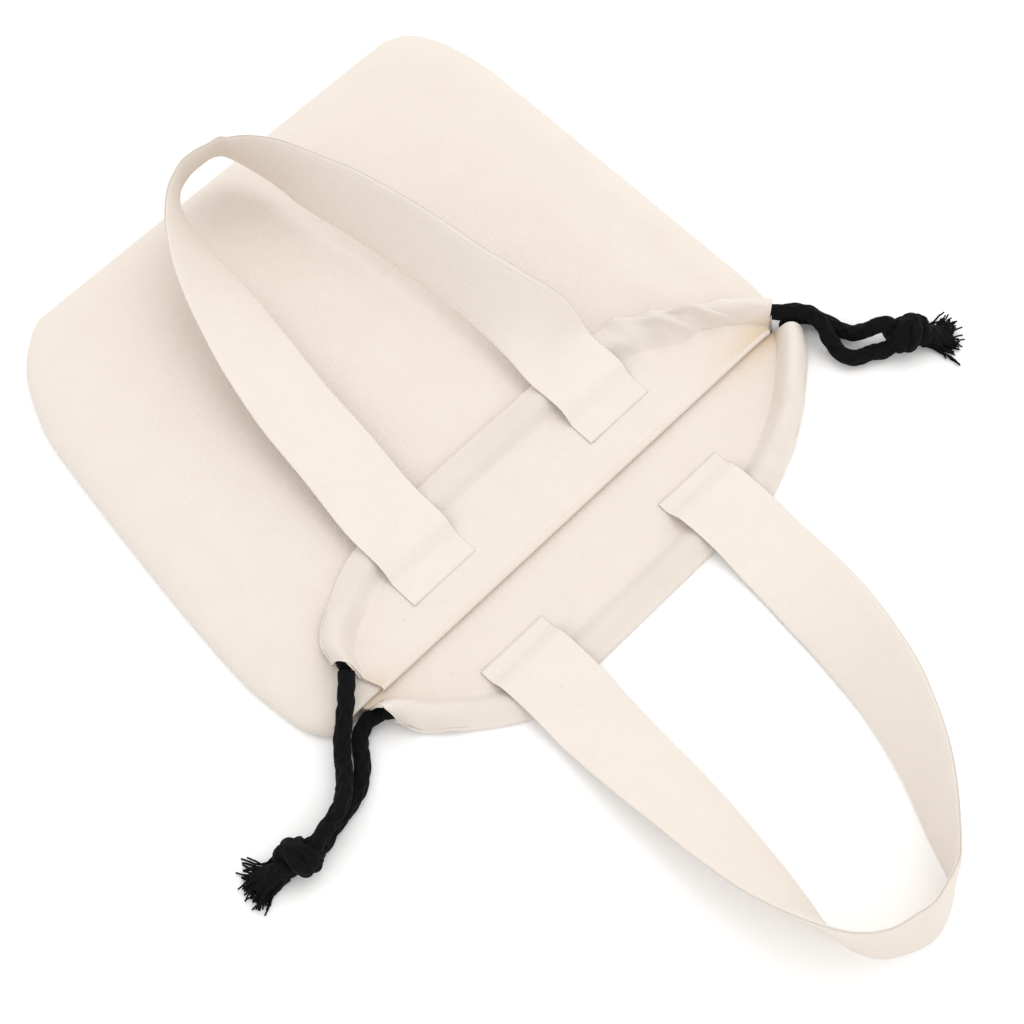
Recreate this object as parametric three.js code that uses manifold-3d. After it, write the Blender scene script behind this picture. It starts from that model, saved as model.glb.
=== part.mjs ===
// A canvas drawstring bag that lies on its back with its mouth turned out.
// X runs along the mouth, Y from the mouth towards the closed bottom, Z up from the floor.
// The origin is on the flat underside of the back panel. Lengths are millimetres.
import * as THREE from "three";
import { mergeVertices } from "three/addons/utils/BufferGeometryUtils.js";
import Module from "manifold-3d";

const wasm = await Module();
wasm.setup();

// Driving dimensions
const MOUTH_WIDTH = 246; // across the bag, side seam to side seam
const BODY_LENGTH = 198; // from the turned lip to the closed bottom
const LIP_Y = -101.5; // where the front panel turns over
const CLOTH = 1.2; // one layer of canvas
const MOUTH_CLEAR = 5.4; // free height between the panels at the mouth
const BODY_CLEAR = 8; // free height between the panels in the middle
const EDGE_ROLL = 15; // how far the rounding of the edges reaches in
const RIM = 44; // how far each rim is turned out
const LIP_LEFT = -88; // left end of the turned lip
const LIP_RIGHT = 110; // right end of the turned lip
const LIP_CLEAR = 0.6; // air between the front panel and its turned rim
const GATHER = 3.6; // height of the deepest gather
const CHANNEL_WIDTH = 13; // flat width of a drawcord channel
const CHANNEL_THROAT = 10.4; // its width at the two ends
const CHANNEL_WALL = 1; // the hem that closes the channel
const STRAP_WIDTH = 30;
const STRAP_THICKNESS = 2;
const STRAP_SPACING = 89; // between the middles of the legs of a strap
const STRAP_RUN_ROWS = 1.25; // rows to each side over which a strap's direction is taken
const FRONT_REACH = 194; // lip to the far end of the front strap
const BACK_REACH = 190.5; // lip to the far end of the back strap
const CORD = 6.8; // diameter of a drawcord
const CORD_FLAT = 2.6; // height of a drawcord pressed flat in its channel
const KNOT_LENGTH = 14;
const KNOT_RADIUS = 7.6;
const TASSEL_LENGTH = 15;
const GAP = 0.3; // clearance between pieces that touch

// Worked out from them
const HALF = MOUTH_WIDTH / 2;
const SEAM = 2 * CLOTH;
const LIP_LENGTH = LIP_RIGHT - LIP_LEFT;
const STRAP_HALF = STRAP_THICKNESS / 2;
const CORD_RADIUS = CORD / 2;

// Outline of the body: at is the share from lip to bottom, left and right are shares of
// half the mouth's width, crown is the share of the clear height, bunch is the share of
// half the width that is bunched shut beside the lip's left end
const outline = [
  { at: 0, left: 0.9, right: 0.925, crown: 0, bunch: 0.16 },
  { at: 0.04, left: 0.94, right: 0.98, crown: 0.02, bunch: 0.12 },
  { at: 0.1, left: 0.957, right: 1, crown: 0.05, bunch: 0.04 },
  { at: 0.18, left: 0.966, right: 1.002, crown: 0.08, bunch: 0 },
  { at: 0.33, left: 0.95, right: 1.002, crown: 0.4, bunch: 0 },
  { at: 0.5, left: 0.92, right: 1.002, crown: 0.9, bunch: 0 },
  { at: 0.7, left: 0.878, right: 1.002, crown: 1, bunch: 0 },
  { at: 0.8, left: 0.85, right: 1, crown: 0.85, bunch: 0 },
  { at: 0.88, left: 0.8, right: 0.982, crown: 0.6, bunch: 0 },
  { at: 0.94, left: 0.742, right: 0.95, crown: 0.3, bunch: 0 },
  { at: 0.98, left: 0.67, right: 0.905, crown: 0.1, bunch: 0 },
  { at: 1, left: 0.62, right: 0.845, crown: 0, bunch: 0 },
];

// Free edge of each rim: at is the share along the lip, across is a share of half the
// mouth's width, reach is a share of the rim
const frontEdge = [
  { at: 0, across: -0.765, reach: 0.375 },
  { at: 0.05, across: -0.74, reach: 0.584 },
  { at: 0.1, across: -0.65, reach: 0.761 },
  { at: 0.16, across: -0.537, reach: 0.916 },
  { at: 0.22, across: -0.423, reach: 0.98 },
  { at: 0.3, across: -0.252, reach: 0.989 },
  { at: 0.6, across: 0.26, reach: 0.989 },
  { at: 0.72, across: 0.455, reach: 0.975 },
  { at: 0.8, across: 0.577, reach: 0.92 },
  { at: 0.87, across: 0.7, reach: 0.775 },
  { at: 0.93, across: 0.809, reach: 0.614 },
  { at: 0.97, across: 0.886, reach: 0.432 },
  { at: 1, across: 0.963, reach: 0.148 },
];
const backEdge = [
  { at: 0, across: -0.745, reach: 0.26 },
  { at: 0.04, across: -0.72, reach: 0.4 },
  { at: 0.09, across: -0.655, reach: 0.58 },
  { at: 0.15, across: -0.545, reach: 0.82 },
  { at: 0.21, across: -0.44, reach: 0.973 },
  { at: 0.3, across: -0.244, reach: 0.993 },
  { at: 0.6, across: 0.252, reach: 0.995 },
  { at: 0.74, across: 0.504, reach: 0.998 },
  { at: 0.81, across: 0.626, reach: 0.889 },
  { at: 0.87, across: 0.732, reach: 0.75 },
  { at: 0.93, across: 0.846, reach: 0.534 },
  { at: 0.97, across: 0.93, reach: 0.348 },
  { at: 1, across: 0.975, reach: 0.2 },
];

// Gathers of each rim: at and breadth are shares along the lip, height is a share of the
// deepest gather, lean is how far a fold drifts from the free edge to the lip
const frontGathers = [
  { at: 0.02, breadth: 0.018, height: 0.5, lean: 0.04 },
  { at: 0.075, breadth: 0.02, height: 0.45, lean: 0.03 },
  { at: 0.8, breadth: 0.016, height: 0.7, lean: -0.02 },
  { at: 0.85, breadth: 0.014, height: 1, lean: -0.03 },
  { at: 0.9, breadth: 0.014, height: 0.8, lean: -0.03 },
  { at: 0.945, breadth: 0.012, height: 0.5, lean: -0.02 },
];
const backGathers = [
  { at: 0.03, breadth: 0.02, height: 0.4, lean: 0.03 },
  { at: 0.09, breadth: 0.02, height: 0.5, lean: 0.02 },
  { at: 0.83, breadth: 0.02, height: 0.5, lean: -0.02 },
  { at: 0.91, breadth: 0.018, height: 0.6, lean: -0.02 },
];

// Bore of a channel: at is the share along the lip, round is 0 where the hem lies flat
// and 1 where it is drawn up round the cord
const channelBore = [
  { at: 0, round: 1 },
  { at: 0.06, round: 0.75 },
  { at: 0.14, round: 0.15 },
  { at: 0.2, round: 0 },
  { at: 0.72, round: 0 },
  { at: 0.8, round: 0.3 },
  { at: 0.88, round: 0.7 },
  { at: 1, round: 1 },
];

// Inner edge of each strap: across is a share of half the spacing, along is a share of
// the reach, lift is a share of the strap's width above what the row lies on, tilt is the
// rise of the outer edge in degrees
const frontStrapRows = [
  { on: "rim", across: -0.66, along: 0.067, lift: 0, tilt: 0 },
  { on: "rim", across: -0.66, along: 0.102, lift: 0, tilt: 0 },
  { on: "rim", across: -0.66, along: 0.117, lift: 0.01, tilt: 0 },
  { on: "channel", across: -0.65, along: 0.149, lift: 0, tilt: 0 },
  { on: "channel", across: -0.64, along: 0.232, lift: 0, tilt: 0 },
  { on: "panel", across: -0.58, along: 0.356, lift: 0.14, tilt: 4 },
  { on: "panel", across: -0.533, along: 0.485, lift: 0.205, tilt: 9 },
  { on: "panel", across: -0.453, along: 0.612, lift: 0.24, tilt: 18 },
  { on: "panel", across: -0.382, along: 0.724, lift: 0.225, tilt: 32 },
  { on: "panel", across: -0.341, along: 0.824, lift: 0.195, tilt: 50 },
  { on: "panel", across: -0.314, along: 0.904, lift: 0.2, tilt: 69 },
  { on: "panel", across: -0.272, along: 0.96, lift: 0.255, tilt: 87 },
  { on: "panel", across: -0.17, along: 0.988, lift: 0.315, tilt: 101 },
  { on: "panel", across: -0.018, along: 1.001, lift: 0.348, tilt: 109 },
  { on: "panel", across: 0.14, along: 1.003, lift: 0.363, tilt: 113.5 },
  { on: "panel", across: 0.257, along: 1, lift: 0.368, tilt: 115 },
  { on: "panel", across: 0.337, along: 0.988, lift: 0.357, tilt: 112.5 },
  { on: "panel", across: 0.384, along: 0.967, lift: 0.328, tilt: 105.5 },
  { on: "panel", across: 0.43, along: 0.934, lift: 0.285, tilt: 97 },
  { on: "panel", across: 0.476, along: 0.88, lift: 0.245, tilt: 87 },
  { on: "panel", across: 0.495, along: 0.805, lift: 0.225, tilt: 76.5 },
  { on: "panel", across: 0.576, along: 0.696, lift: 0.22, tilt: 68 },
  { on: "panel", across: 0.65, along: 0.563, lift: 0.225, tilt: 64 },
  { on: "panel", across: 0.688, along: 0.432, lift: 0.215, tilt: 60 },
  { on: "panel", across: 0.7, along: 0.335, lift: 0.165, tilt: 46 },
  { on: "panel", across: 0.685, along: 0.28, lift: 0.15, tilt: 17 },
  { on: "channel", across: 0.67, along: 0.232, lift: 0, tilt: 0 },
  { on: "channel", across: 0.67, along: 0.149, lift: 0, tilt: 0 },
  { on: "rim", across: 0.66, along: 0.117, lift: 0.01, tilt: 0 },
  { on: "rim", across: 0.66, along: 0.102, lift: 0, tilt: 0 },
  { on: "rim", across: 0.66, along: 0.067, lift: 0, tilt: 0 },
];
const backStrapRows = [
  { on: "rim", across: -0.64, along: 0.097, lift: 0, tilt: 0 },
  { on: "rim", across: -0.64, along: 0.12, lift: 0.01, tilt: 0 },
  { on: "channel", across: -0.64, along: 0.152, lift: 0, tilt: 0 },
  { on: "channel", across: -0.64, along: 0.238, lift: 0, tilt: 0 },
  { on: "floor", across: -0.65, along: 0.3, lift: 0.05, tilt: 3 },
  { on: "floor", across: -0.67, along: 0.38, lift: 0.01, tilt: 10 },
  { on: "floor", across: -0.69, along: 0.456, lift: 0.02, tilt: 16 },
  { on: "floor", across: -0.705, along: 0.532, lift: 0.01, tilt: 22 },
  { on: "floor", across: -0.735, along: 0.605, lift: 0, tilt: 28 },
  { on: "floor", across: -0.775, along: 0.674, lift: 0, tilt: 36 },
  { on: "floor", across: -0.825, along: 0.742, lift: 0, tilt: 45 },
  { on: "floor", across: -0.88, along: 0.8, lift: 0, tilt: 56 },
  { on: "floor", across: -0.93, along: 0.85, lift: 0, tilt: 70 },
  { on: "floor", across: -0.94, along: 0.902, lift: 0, tilt: 84 },
  { on: "floor", across: -0.85, along: 0.951, lift: 0, tilt: 95 },
  { on: "floor", across: -0.67, along: 0.982, lift: 0, tilt: 101 },
  { on: "floor", across: -0.43, along: 1, lift: 0, tilt: 103 },
  { on: "floor", across: -0.19, along: 0.985, lift: 0, tilt: 101 },
  { on: "floor", across: -0.04, along: 0.957, lift: 0, tilt: 95 },
  { on: "floor", across: 0.03, along: 0.921, lift: 0, tilt: 87 },
  { on: "floor", across: 0.11, along: 0.877, lift: 0, tilt: 79 },
  { on: "floor", across: 0.215, along: 0.828, lift: 0, tilt: 72 },
  { on: "floor", across: 0.325, along: 0.774, lift: 0, tilt: 65 },
  { on: "floor", across: 0.423, along: 0.714, lift: 0, tilt: 58 },
  { on: "floor", across: 0.507, along: 0.65, lift: 0, tilt: 50 },
  { on: "floor", across: 0.567, along: 0.58, lift: 0, tilt: 42 },
  { on: "floor", across: 0.614, along: 0.509, lift: 0, tilt: 33 },
  { on: "floor", across: 0.646, along: 0.436, lift: 0, tilt: 21 },
  { on: "floor", across: 0.68, along: 0.365, lift: 0.01, tilt: 9 },
  { on: "floor", across: 0.7, along: 0.3, lift: 0.05, tilt: 2 },
  { on: "channel", across: 0.71, along: 0.238, lift: 0, tilt: 0 },
  { on: "channel", across: 0.71, along: 0.152, lift: 0, tilt: 0 },
  { on: "rim", across: 0.71, along: 0.12, lift: 0.01, tilt: 0 },
  { on: "rim", across: 0.71, along: 0.097, lift: 0, tilt: 0 },
];

// Free ends of the drawcords, from the mouth of their channel to the knot
const cordRoutes = {
  cord_right_front: [
    [114.7, -98.8, 11.4], [117.8, -102.2, 12.0], [121.4, -105.2, 12.0], [124.2, -109.4, 11.4],
    [124.6, -114.6, 10.4], [123.6, -119.7, 7.6], [123.2, -124.6, 4.8], [124.4, -129.4, 3.6],
    [127.8, -132.3, 3.5], [132.0, -134.2, 3.5], [136.6, -137.4, 4.2],
  ],
  cord_right_back: [
    [116.25, -106.65, 4.9], [118.4, -104.3, 4.7], [121.6, -103.6, 4.1], [125.2, -105.2, 3.6],
    [128.2, -109.0, 3.5], [129.9, -113.8, 3.5], [130.8, -118.4, 3.5], [132.2, -123.0, 4.2],
    [134.4, -126.8, 7.2], [137.3, -129.4, 10.4], [140.8, -131.9, 11.2],
  ],
  cord_left_front: [
    [-93.6, -90.6, 13.4], [-96.9, -93.9, 13.4], [-100.5, -97.5, 12.8], [-104.4, -100.8, 11.8],
    [-108.1, -103.8, 10.2], [-111.7, -106.8, 8.2], [-114.9, -110.6, 7], [-118.4, -115.1, 8.2],
    [-122.4, -119.3, 9.9], [-125.9, -122.1, 10.7], [-129.7, -123.7, 10.8],
    [-134.4, -124.8, 10.8], [-139.8, -126.1, 11.3],
  ],
  cord_left_back: [
    [-90.8, -107.2, 4.9], [-95.2, -106.2, 4.3], [-99.6, -105.7, 3.7], [-103.8, -107.2, 3.5],
    [-107, -110.4, 3.5], [-109, -113.4, 3.5], [-112.7, -117.2, 3.5], [-116.9, -120.5, 3.5],
    [-121.6, -122.2, 3.5], [-126.4, -123.3, 3.5], [-131.9, -124.2, 3.5], [-140, -126.4, 4],
  ],
};

// Knots and frayed ends: where the knot sits, and the way that the tassel points
const ends = {
  right: { knot: [145, -139.2, KNOT_RADIUS + GAP], heading: -40 },
  left: { knot: [-148.4, -125, KNOT_RADIUS + GAP], heading: 165 },
};

// Smooth reading of one column of a table between its rows
function read(table, column, at) {
  const last = table.length - 1;
  const share = Math.min(Math.max(at, table[0].at), table[last].at);
  let row = 0;
  while (row < last - 1 && table[row + 1].at < share) {
    row += 1;
  }
  const slope = (k) => {
    const before = table[Math.max(k - 1, 0)];
    const after = table[Math.min(k + 1, last)];
    return (after[column] - before[column]) / (after.at - before.at);
  };
  const span = table[row + 1].at - table[row].at;
  const t = (share - table[row].at) / span;
  const start = table[row][column];
  const end = table[row + 1][column];
  const bend = t * (1 - t);
  const ease = t * t * (3 - 2 * t);
  return start + (end - start) * ease + span * bend * (slope(row) * (1 - t) - slope(row + 1) * t);
}

// Quarter-round rise from 0 at an edge to 1 at the given reach
function roundRise(distance, reach) {
  const left = 1 - Math.min(Math.max(distance / reach, 0), 1);
  return Math.sqrt(1 - left * left);
}

// Closed solid through rings of equal count, each an upper row and a lower row walked back
function solid(rings) {
  const count = rings[0].length;
  const half = count / 2;
  const places = rings.flat().flatMap((p) => [p.x, p.y, p.z]);
  const faces = [];
  const quad = (a, b, c, d) => faces.push(a, b, c, a, c, d);
  for (let r = 0; r < rings.length - 1; r++) {
    for (let i = 0; i < count; i++) {
      const next = (i + 1) % count;
      quad(r * count + i, r * count + next, (r + 1) * count + next, (r + 1) * count + i);
    }
  }
  const end = (rings.length - 1) * count;
  for (let i = 0; i < half - 1; i++) {
    quad(count - 1 - i, count - 2 - i, i + 1, i);
    quad(end + i, end + i + 1, end + count - 2 - i, end + count - 1 - i);
  }
  const geometry = new THREE.BufferGeometry();
  geometry.setAttribute("position", new THREE.Float32BufferAttribute(places, 3));
  geometry.setIndex(volume(places, faces) < 0 ? faces.reverse() : faces);
  return geometry;
}

// Signed volume of a closed mesh
function volume(places, faces) {
  let total = 0;
  for (let f = 0; f < faces.length; f += 3) {
    const [a, b, c] = [0, 1, 2].map((k) => new THREE.Vector3().fromArray(places, faces[f + k] * 3));
    total += a.dot(b.cross(c));
  }
  return total;
}

// A geometry as a solid that can be joined and cut
function toManifold(geometry) {
  const bare = geometry.clone();
  bare.deleteAttribute("normal");
  bare.deleteAttribute("uv");
  const merged = mergeVertices(bare, 1e-5);
  const vertProperties = new Float32Array(merged.attributes.position.array);
  const triVerts = new Uint32Array(merged.index.array);
  return new wasm.Manifold(new wasm.Mesh({ numProp: 3, vertProperties, triVerts }));
}

// And back again
function toGeometry(manifold) {
  const { vertProperties, triVerts } = manifold.getMesh();
  const geometry = new THREE.BufferGeometry();
  geometry.setAttribute("position", new THREE.BufferAttribute(vertProperties, 3));
  geometry.setIndex(new THREE.BufferAttribute(triVerts, 1));
  return geometry;
}

// Even shares from 0 to 1
function shares(steps) {
  return Array.from({ length: steps + 1 }, (_, k) => k / steps);
}

// Side edges of the body at a share of its length
function sides(at) {
  return [-HALF * read(outline, "left", at), HALF * read(outline, "right", at)];
}

// Height of the body's upper and lower faces over the floor
function bodyTop(x, y) {
  const at = (y - LIP_Y) / BODY_LENGTH;
  const [left, right] = sides(at);
  const inward = Math.min(x - left, right - x);
  const clear = MOUTH_CLEAR + (BODY_CLEAR - MOUTH_CLEAR) * read(outline, "crown", at);
  const rise = roundRise(inward, EDGE_ROLL) * roundRise(BODY_LENGTH * (1 - at), EDGE_ROLL);
  return CLOTH + SEAM + (clear - CLOTH) * rise;
}
function bodyUnder(x, y) {
  const at = (y - LIP_Y) / BODY_LENGTH;
  const [left, right] = sides(at);
  const inward = Math.min(x - left, right - x);
  const reach = EDGE_ROLL / 2;
  return CLOTH * (1 - roundRise(inward, reach) * roundRise(BODY_LENGTH * (1 - at), reach));
}

// The pouch: an outer form with an inner one cut out of it through the mouth
function pouch() {
  const rows = [0, 0.04, 0.1, 0.2, 0.33, 0.47, 0.6, 0.72, 0.82, 0.89, 0.935, 0.965, 0.985, 0.995, 1];
  const across = shares(18).map((s) => 0.15 * s + 0.85 * (0.5 - 0.5 * Math.cos(Math.PI * s)));
  const form = (inset, ends) => {
    const rings = ends.map((at) => {
      const y = LIP_Y + BODY_LENGTH * at;
      const [left, right] = sides(at);
      const bunch = inset > 0 ? HALF * read(outline, "bunch", at) : 0;
      const from = left + inset + bunch;
      const to = right - inset;
      const xs = across.map((s) => from + (to - from) * s);
      const under = xs.map((x) => bodyUnder(x, y) + (inset > 0 ? CLOTH : 0));
      const over = xs.map((x, i) => Math.max(bodyTop(x, y) - (inset > 0 ? CLOTH : 0), under[i] + GAP));
      const upper = xs.map((x, i) => new THREE.Vector3(x, y, over[i]));
      const lower = xs.map((x, i) => new THREE.Vector3(x, y, under[i])).reverse();
      return [...upper, ...lower];
    });
    return rings;
  };
  const outer = form(0, rows);
  const innerRows = rows.filter((at, row) => row % 2 === 0 || at > 0.85);
  const inner = form(SEAM + CLOTH, innerRows.map((at) => at * (1 - (SEAM + CLOTH) / BODY_LENGTH)));
  const mouth = inner[0].map((p) => new THREE.Vector3(p.x, p.y - CLOTH, p.z));
  return toManifold(solid(outer)).subtract(toManifold(solid([mouth, ...inner])));
}

// Lip and free edge of a rim at a share along the mouth, and any point between them
function rimPoint(side, at, out) {
  const edge = side === "front" ? frontEdge : backEdge;
  const way = side === "front" ? 1 : -1;
  const lip = new THREE.Vector2(LIP_LEFT + LIP_LENGTH * at, LIP_Y);
  const free = new THREE.Vector2(HALF * read(edge, "across", at), LIP_Y + way * RIM * read(edge, "reach", at));
  return lip.lerp(free, out);
}
function rimLength(side, at) {
  return rimPoint(side, at, 0).distanceTo(rimPoint(side, at, 1));
}

// Height of a rim's upper face, with its gathers
function rimTop(side, at, out) {
  const gathers = side === "front" ? frontGathers : backGathers;
  const place = rimPoint(side, at, out);
  const bed = side === "front" ? bodyTop(place.x, Math.max(place.y, LIP_Y)) + LIP_CLEAR : 0;
  const fold = (g) => g.height * Math.exp(-(((at - g.at - g.lean * (1 - out)) / g.breadth) ** 2));
  const ripple = GATHER * gathers.reduce((sum, g) => sum + fold(g), 0) * out * out;
  return bed + CLOTH + ripple;
}

// Shares along the mouth at which the rims and channels are cut into sections
const mouthShares = [
  ...shares(8).map((s) => 0.16 * s),
  ...[0.22, 0.32, 0.44, 0.56, 0.66],
  ...shares(14).map((s) => 0.73 + 0.27 * s),
];
const rimShares = [0.12, 0.3, 0.48, 0.64, 0.78, 0.9, 1];

function frontRim() {
  const bend = shares(4).map((s) => Math.PI * (s - 0.5));
  const rings = mouthShares.map((at) => {
    const lip = rimPoint("front", at, 0);
    const top = rimTop("front", at, 0) - CLOTH - LIP_CLEAR;
    const middle = top + LIP_CLEAR / 2;
    const arc = (radius) =>
      bend.map((a) => new THREE.Vector3(lip.x, LIP_Y - radius * Math.cos(a), middle + radius * Math.sin(a)));
    const flat = (drop) =>
      rimShares.map((out) => {
        const p = rimPoint("front", at, out);
        return new THREE.Vector3(p.x, p.y, rimTop("front", at, out) - drop);
      });
    const root = (z) => new THREE.Vector3(lip.x, LIP_Y + SEAM, z);
    const upper = [root(top - CLOTH), ...arc(LIP_CLEAR / 2 + CLOTH), ...flat(0)];
    const lower = [root(top), ...arc(LIP_CLEAR / 2), ...flat(CLOTH)];
    return [...upper, ...lower.reverse()];
  });
  return toManifold(solid(rings));
}

function backRim() {
  const rings = mouthShares.map((at) => {
    const row = (drop) =>
      [0, ...rimShares].map((out) => {
        const p = rimPoint("back", at, out);
        return new THREE.Vector3(p.x, p.y, rimTop("back", at, out) - drop);
      });
    const lip = rimPoint("back", at, 0);
    const root = (z) => new THREE.Vector3(lip.x, LIP_Y + SEAM, z);
    return [root(CLOTH), ...row(0), ...row(CLOTH).reverse(), root(0)];
  });
  return toManifold(solid(rings));
}

// Section of a channel at a share along the mouth: where it starts and how high it stands
function channelAt(side, at) {
  const round = read(channelBore, "round", at);
  const flatHeight = CORD_FLAT + GAP + CHANNEL_WALL;
  const roundHeight = CORD + GAP + CHANNEL_WALL;
  const width = CHANNEL_WIDTH + (CHANNEL_THROAT - CHANNEL_WIDTH) * round;
  const length = rimLength(side, at);
  return {
    round,
    width: Math.min(width, length),
    from: Math.max(1 - width / length, 0),
    height: GAP + flatHeight + (roundHeight - flatHeight) * round,
  };
}

// The hem over a drawcord: an arch that stands on the rim along its free edge
function channel(side) {
  const angles = shares(8).map((s) => Math.PI * s);
  const rings = mouthShares.map((at) => {
    const c = channelAt(side, at);
    const row = (wall) =>
      angles.map((a) => {
        const middle = (c.from + 1) / 2;
        const out = middle + ((1 - c.from) / 2) * (1 - (2 * wall) / c.width) * -Math.cos(a);
        const p = rimPoint(side, at, out);
        const rise = (c.height - GAP - wall) * Math.sin(a) ** 0.6;
        return new THREE.Vector3(p.x, p.y, rimTop(side, at, out) + GAP + rise);
      });
    return [...row(0), ...row(CHANNEL_WALL).reverse()];
  });
  return solid(rings);
}

// The stretch of drawcord that its channel holds
function heldCord(side) {
  const angles = shares(5).map((s) => Math.PI * s);
  const rings = mouthShares.map((at) => {
    const c = channelAt(side, at);
    const height = CORD_FLAT + (CORD - CORD_FLAT) * c.round;
    const width = Math.min(c.width - 2 * CHANNEL_WALL - 2 * GAP, CORD * (1.3 - 0.3 * c.round));
    const middle = (c.from + 1) / 2;
    const span = width / rimLength(side, at);
    const row = (way) =>
      angles.map((a) => {
        const out = middle - (span / 2) * Math.cos(a);
        const p = rimPoint(side, at, out);
        const bed = rimTop(side, at, out) + GAP + height / 2;
        return new THREE.Vector3(p.x, p.y, bed + way * (height / 2) * Math.sin(a) + way * 0.01);
      });
    return [...row(1), ...row(-1).reverse()];
  });
  return solid(rings);
}

// A strap: a ribbon whose inner edge follows its table and whose outer edge rises by the tilt
function strap(side, rows, reach) {
  const way = side === "front" ? 1 : -1;
  const middle = 0.5;
  const rimAt = (along) => rimTop(side, middle, Math.min((along * reach) / RIM, 1)) + GAP + STRAP_HALF;
  const beds = {
    rim: rimAt,
    channel: (along) => rimAt(along) + channelAt(side, middle).height,
    panel: () => bodyTop(0, LIP_Y + BODY_LENGTH * 0.6) + STRAP_HALF,
    floor: () => STRAP_HALF + GAP / 2,
  };
  const points = rows.map((r) => {
    const x = (STRAP_SPACING / 2) * r.across;
    const z = beds[r.on](r.along) + STRAP_WIDTH * r.lift;
    return new THREE.Vector3(x, LIP_Y + way * reach * r.along, z);
  });
  const curve = new THREE.CatmullRomCurve3(points, false, "centripetal");
  const steps = (rows.length - 1) * 2;
  const runBase = STRAP_RUN_ROWS / (rows.length - 1);
  const rings = shares(steps).map((s) => {
    const inner = curve.getPoint(s);
    const ahead = curve.getPoint(Math.min(s + runBase, 1));
    const run = ahead.sub(curve.getPoint(Math.max(s - runBase, 0))).normalize();
    const index = Math.min(Math.floor((s * steps) / 2), rows.length - 2);
    const part = (s * steps) / 2 - index;
    const tilt = THREE.MathUtils.degToRad(rows[index].tilt * (1 - part) + rows[index + 1].tilt * part);
    const outward = new THREE.Vector3(-run.y, run.x, 0).normalize().multiplyScalar(way);
    const upward = new THREE.Vector3().crossVectors(run, outward).normalize().multiplyScalar(way);
    const width = outward.multiplyScalar(Math.cos(tilt)).addScaledVector(upward, Math.sin(tilt));
    const face = new THREE.Vector3().crossVectors(run, width).normalize().multiplyScalar(STRAP_HALF);
    const row = (sign) =>
      [0, 0.5, 1].map((w) => inner.clone().addScaledVector(width, STRAP_WIDTH * w).addScaledVector(face, sign));
    return [...row(1), ...row(-1).reverse()];
  });
  return solid(rings);
}

// A free end of drawcord: a round section along its route
function cord(route) {
  const curve = new THREE.CatmullRomCurve3(route.map((p) => new THREE.Vector3(...p)), false, "centripetal");
  const section = new THREE.Shape().absarc(0, 0, CORD_RADIUS, 0, 2 * Math.PI);
  const steps = Math.round(curve.getLength() / CORD) * 2;
  const options = { extrudePath: curve, steps, curveSegments: 5, bevelEnabled: false };
  return new THREE.ExtrudeGeometry(section, options);
}

// A solid of rounds along the way that a knot points, with a radius for each share and angle
function spindle(place, heading, length, steps, around, radius) {
  const turn = THREE.MathUtils.degToRad(heading);
  const run = new THREE.Vector3(Math.cos(turn), Math.sin(turn), 0);
  const side = new THREE.Vector3(-run.y, run.x, 0);
  const up = new THREE.Vector3(0, 0, 1);
  const rings = shares(steps).map((s) =>
    Array.from({ length: around }, (_, k) => {
      const angle = (2 * Math.PI * (k + 0.5)) / around;
      const r = radius(s, angle);
      const p = new THREE.Vector3(...place).addScaledVector(run, (s - 0.5) * length);
      return p.addScaledVector(side, r * Math.cos(angle)).addScaledVector(up, r * Math.sin(angle));
    }),
  );
  return solid(rings);
}

// An overhand knot in both cords: a round form with the bulges of its turns
function knot(end) {
  const bulge = (s, angle) => 0.9 + 0.1 * Math.cos(2 * angle + 4 * Math.PI * s);
  const radius = (s, angle) => KNOT_RADIUS * Math.sin(Math.PI * (0.12 + 0.76 * s)) ** 0.6 * bulge(s, angle);
  return spindle(end.knot, end.heading, KNOT_LENGTH, 8, 12, radius);
}

// A frayed end: locks of thread that fan out from a head against the knot
function tassel(end) {
  const turn = THREE.MathUtils.degToRad(end.heading);
  const root = [
    end.knot[0] + (KNOT_LENGTH / 2 + GAP + TASSEL_LENGTH * 0.25) * Math.cos(turn),
    end.knot[1] + (KNOT_LENGTH / 2 + GAP + TASSEL_LENGTH * 0.25) * Math.sin(turn),
    CORD_RADIUS + GAP,
  ];
  const head = (s, angle) => CORD_RADIUS * (0.75 + 0.2 * s) * (1 + 0.06 * Math.cos(5 * angle));
  let whole = toManifold(spindle(root, end.heading, TASSEL_LENGTH * 0.5, 3, 10, head));
  const locks = [
    { spread: -38, length: 0.86, rise: 0.9 },
    { spread: -24, length: 1, rise: 0.55 },
    { spread: -11, length: 0.94, rise: 1.1 },
    { spread: 2, length: 1.06, rise: 0.6 },
    { spread: 14, length: 0.96, rise: 1.15 },
    { spread: 27, length: 1.02, rise: 0.55 },
    { spread: 40, length: 0.82, rise: 0.95 },
  ];
  for (const lock of locks) {
    const way = turn + THREE.MathUtils.degToRad(lock.spread);
    const reach = TASSEL_LENGTH * lock.length;
    const place = [
      root[0] + (reach / 2) * Math.cos(way),
      root[1] + (reach / 2) * Math.sin(way),
      CORD_RADIUS * lock.rise,
    ];
    const taper = (s) => CORD_RADIUS * (0.5 - 0.22 * s);
    const heading = THREE.MathUtils.radToDeg(way);
    whole = whole.add(toManifold(spindle(place, heading, reach, 3, 6, taper)));
  }
  return toGeometry(whole);
}

// Finishes
const canvas = { color: 0xf3e9dd, roughness: 0.95, metalness: 0 };
const hem = { color: 0xeee5da, roughness: 0.95, metalness: 0 };
const webbing = { color: 0xf4eade, roughness: 0.92, metalness: 0 };
const blackCotton = { color: 0x151517, roughness: 0.9, metalness: 0 };

const group = new THREE.Group();

function addPiece(name, geometry, finish) {
  const mesh = new THREE.Mesh(geometry, new THREE.MeshStandardMaterial(finish));
  mesh.name = name;
  group.add(mesh);
}

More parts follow.
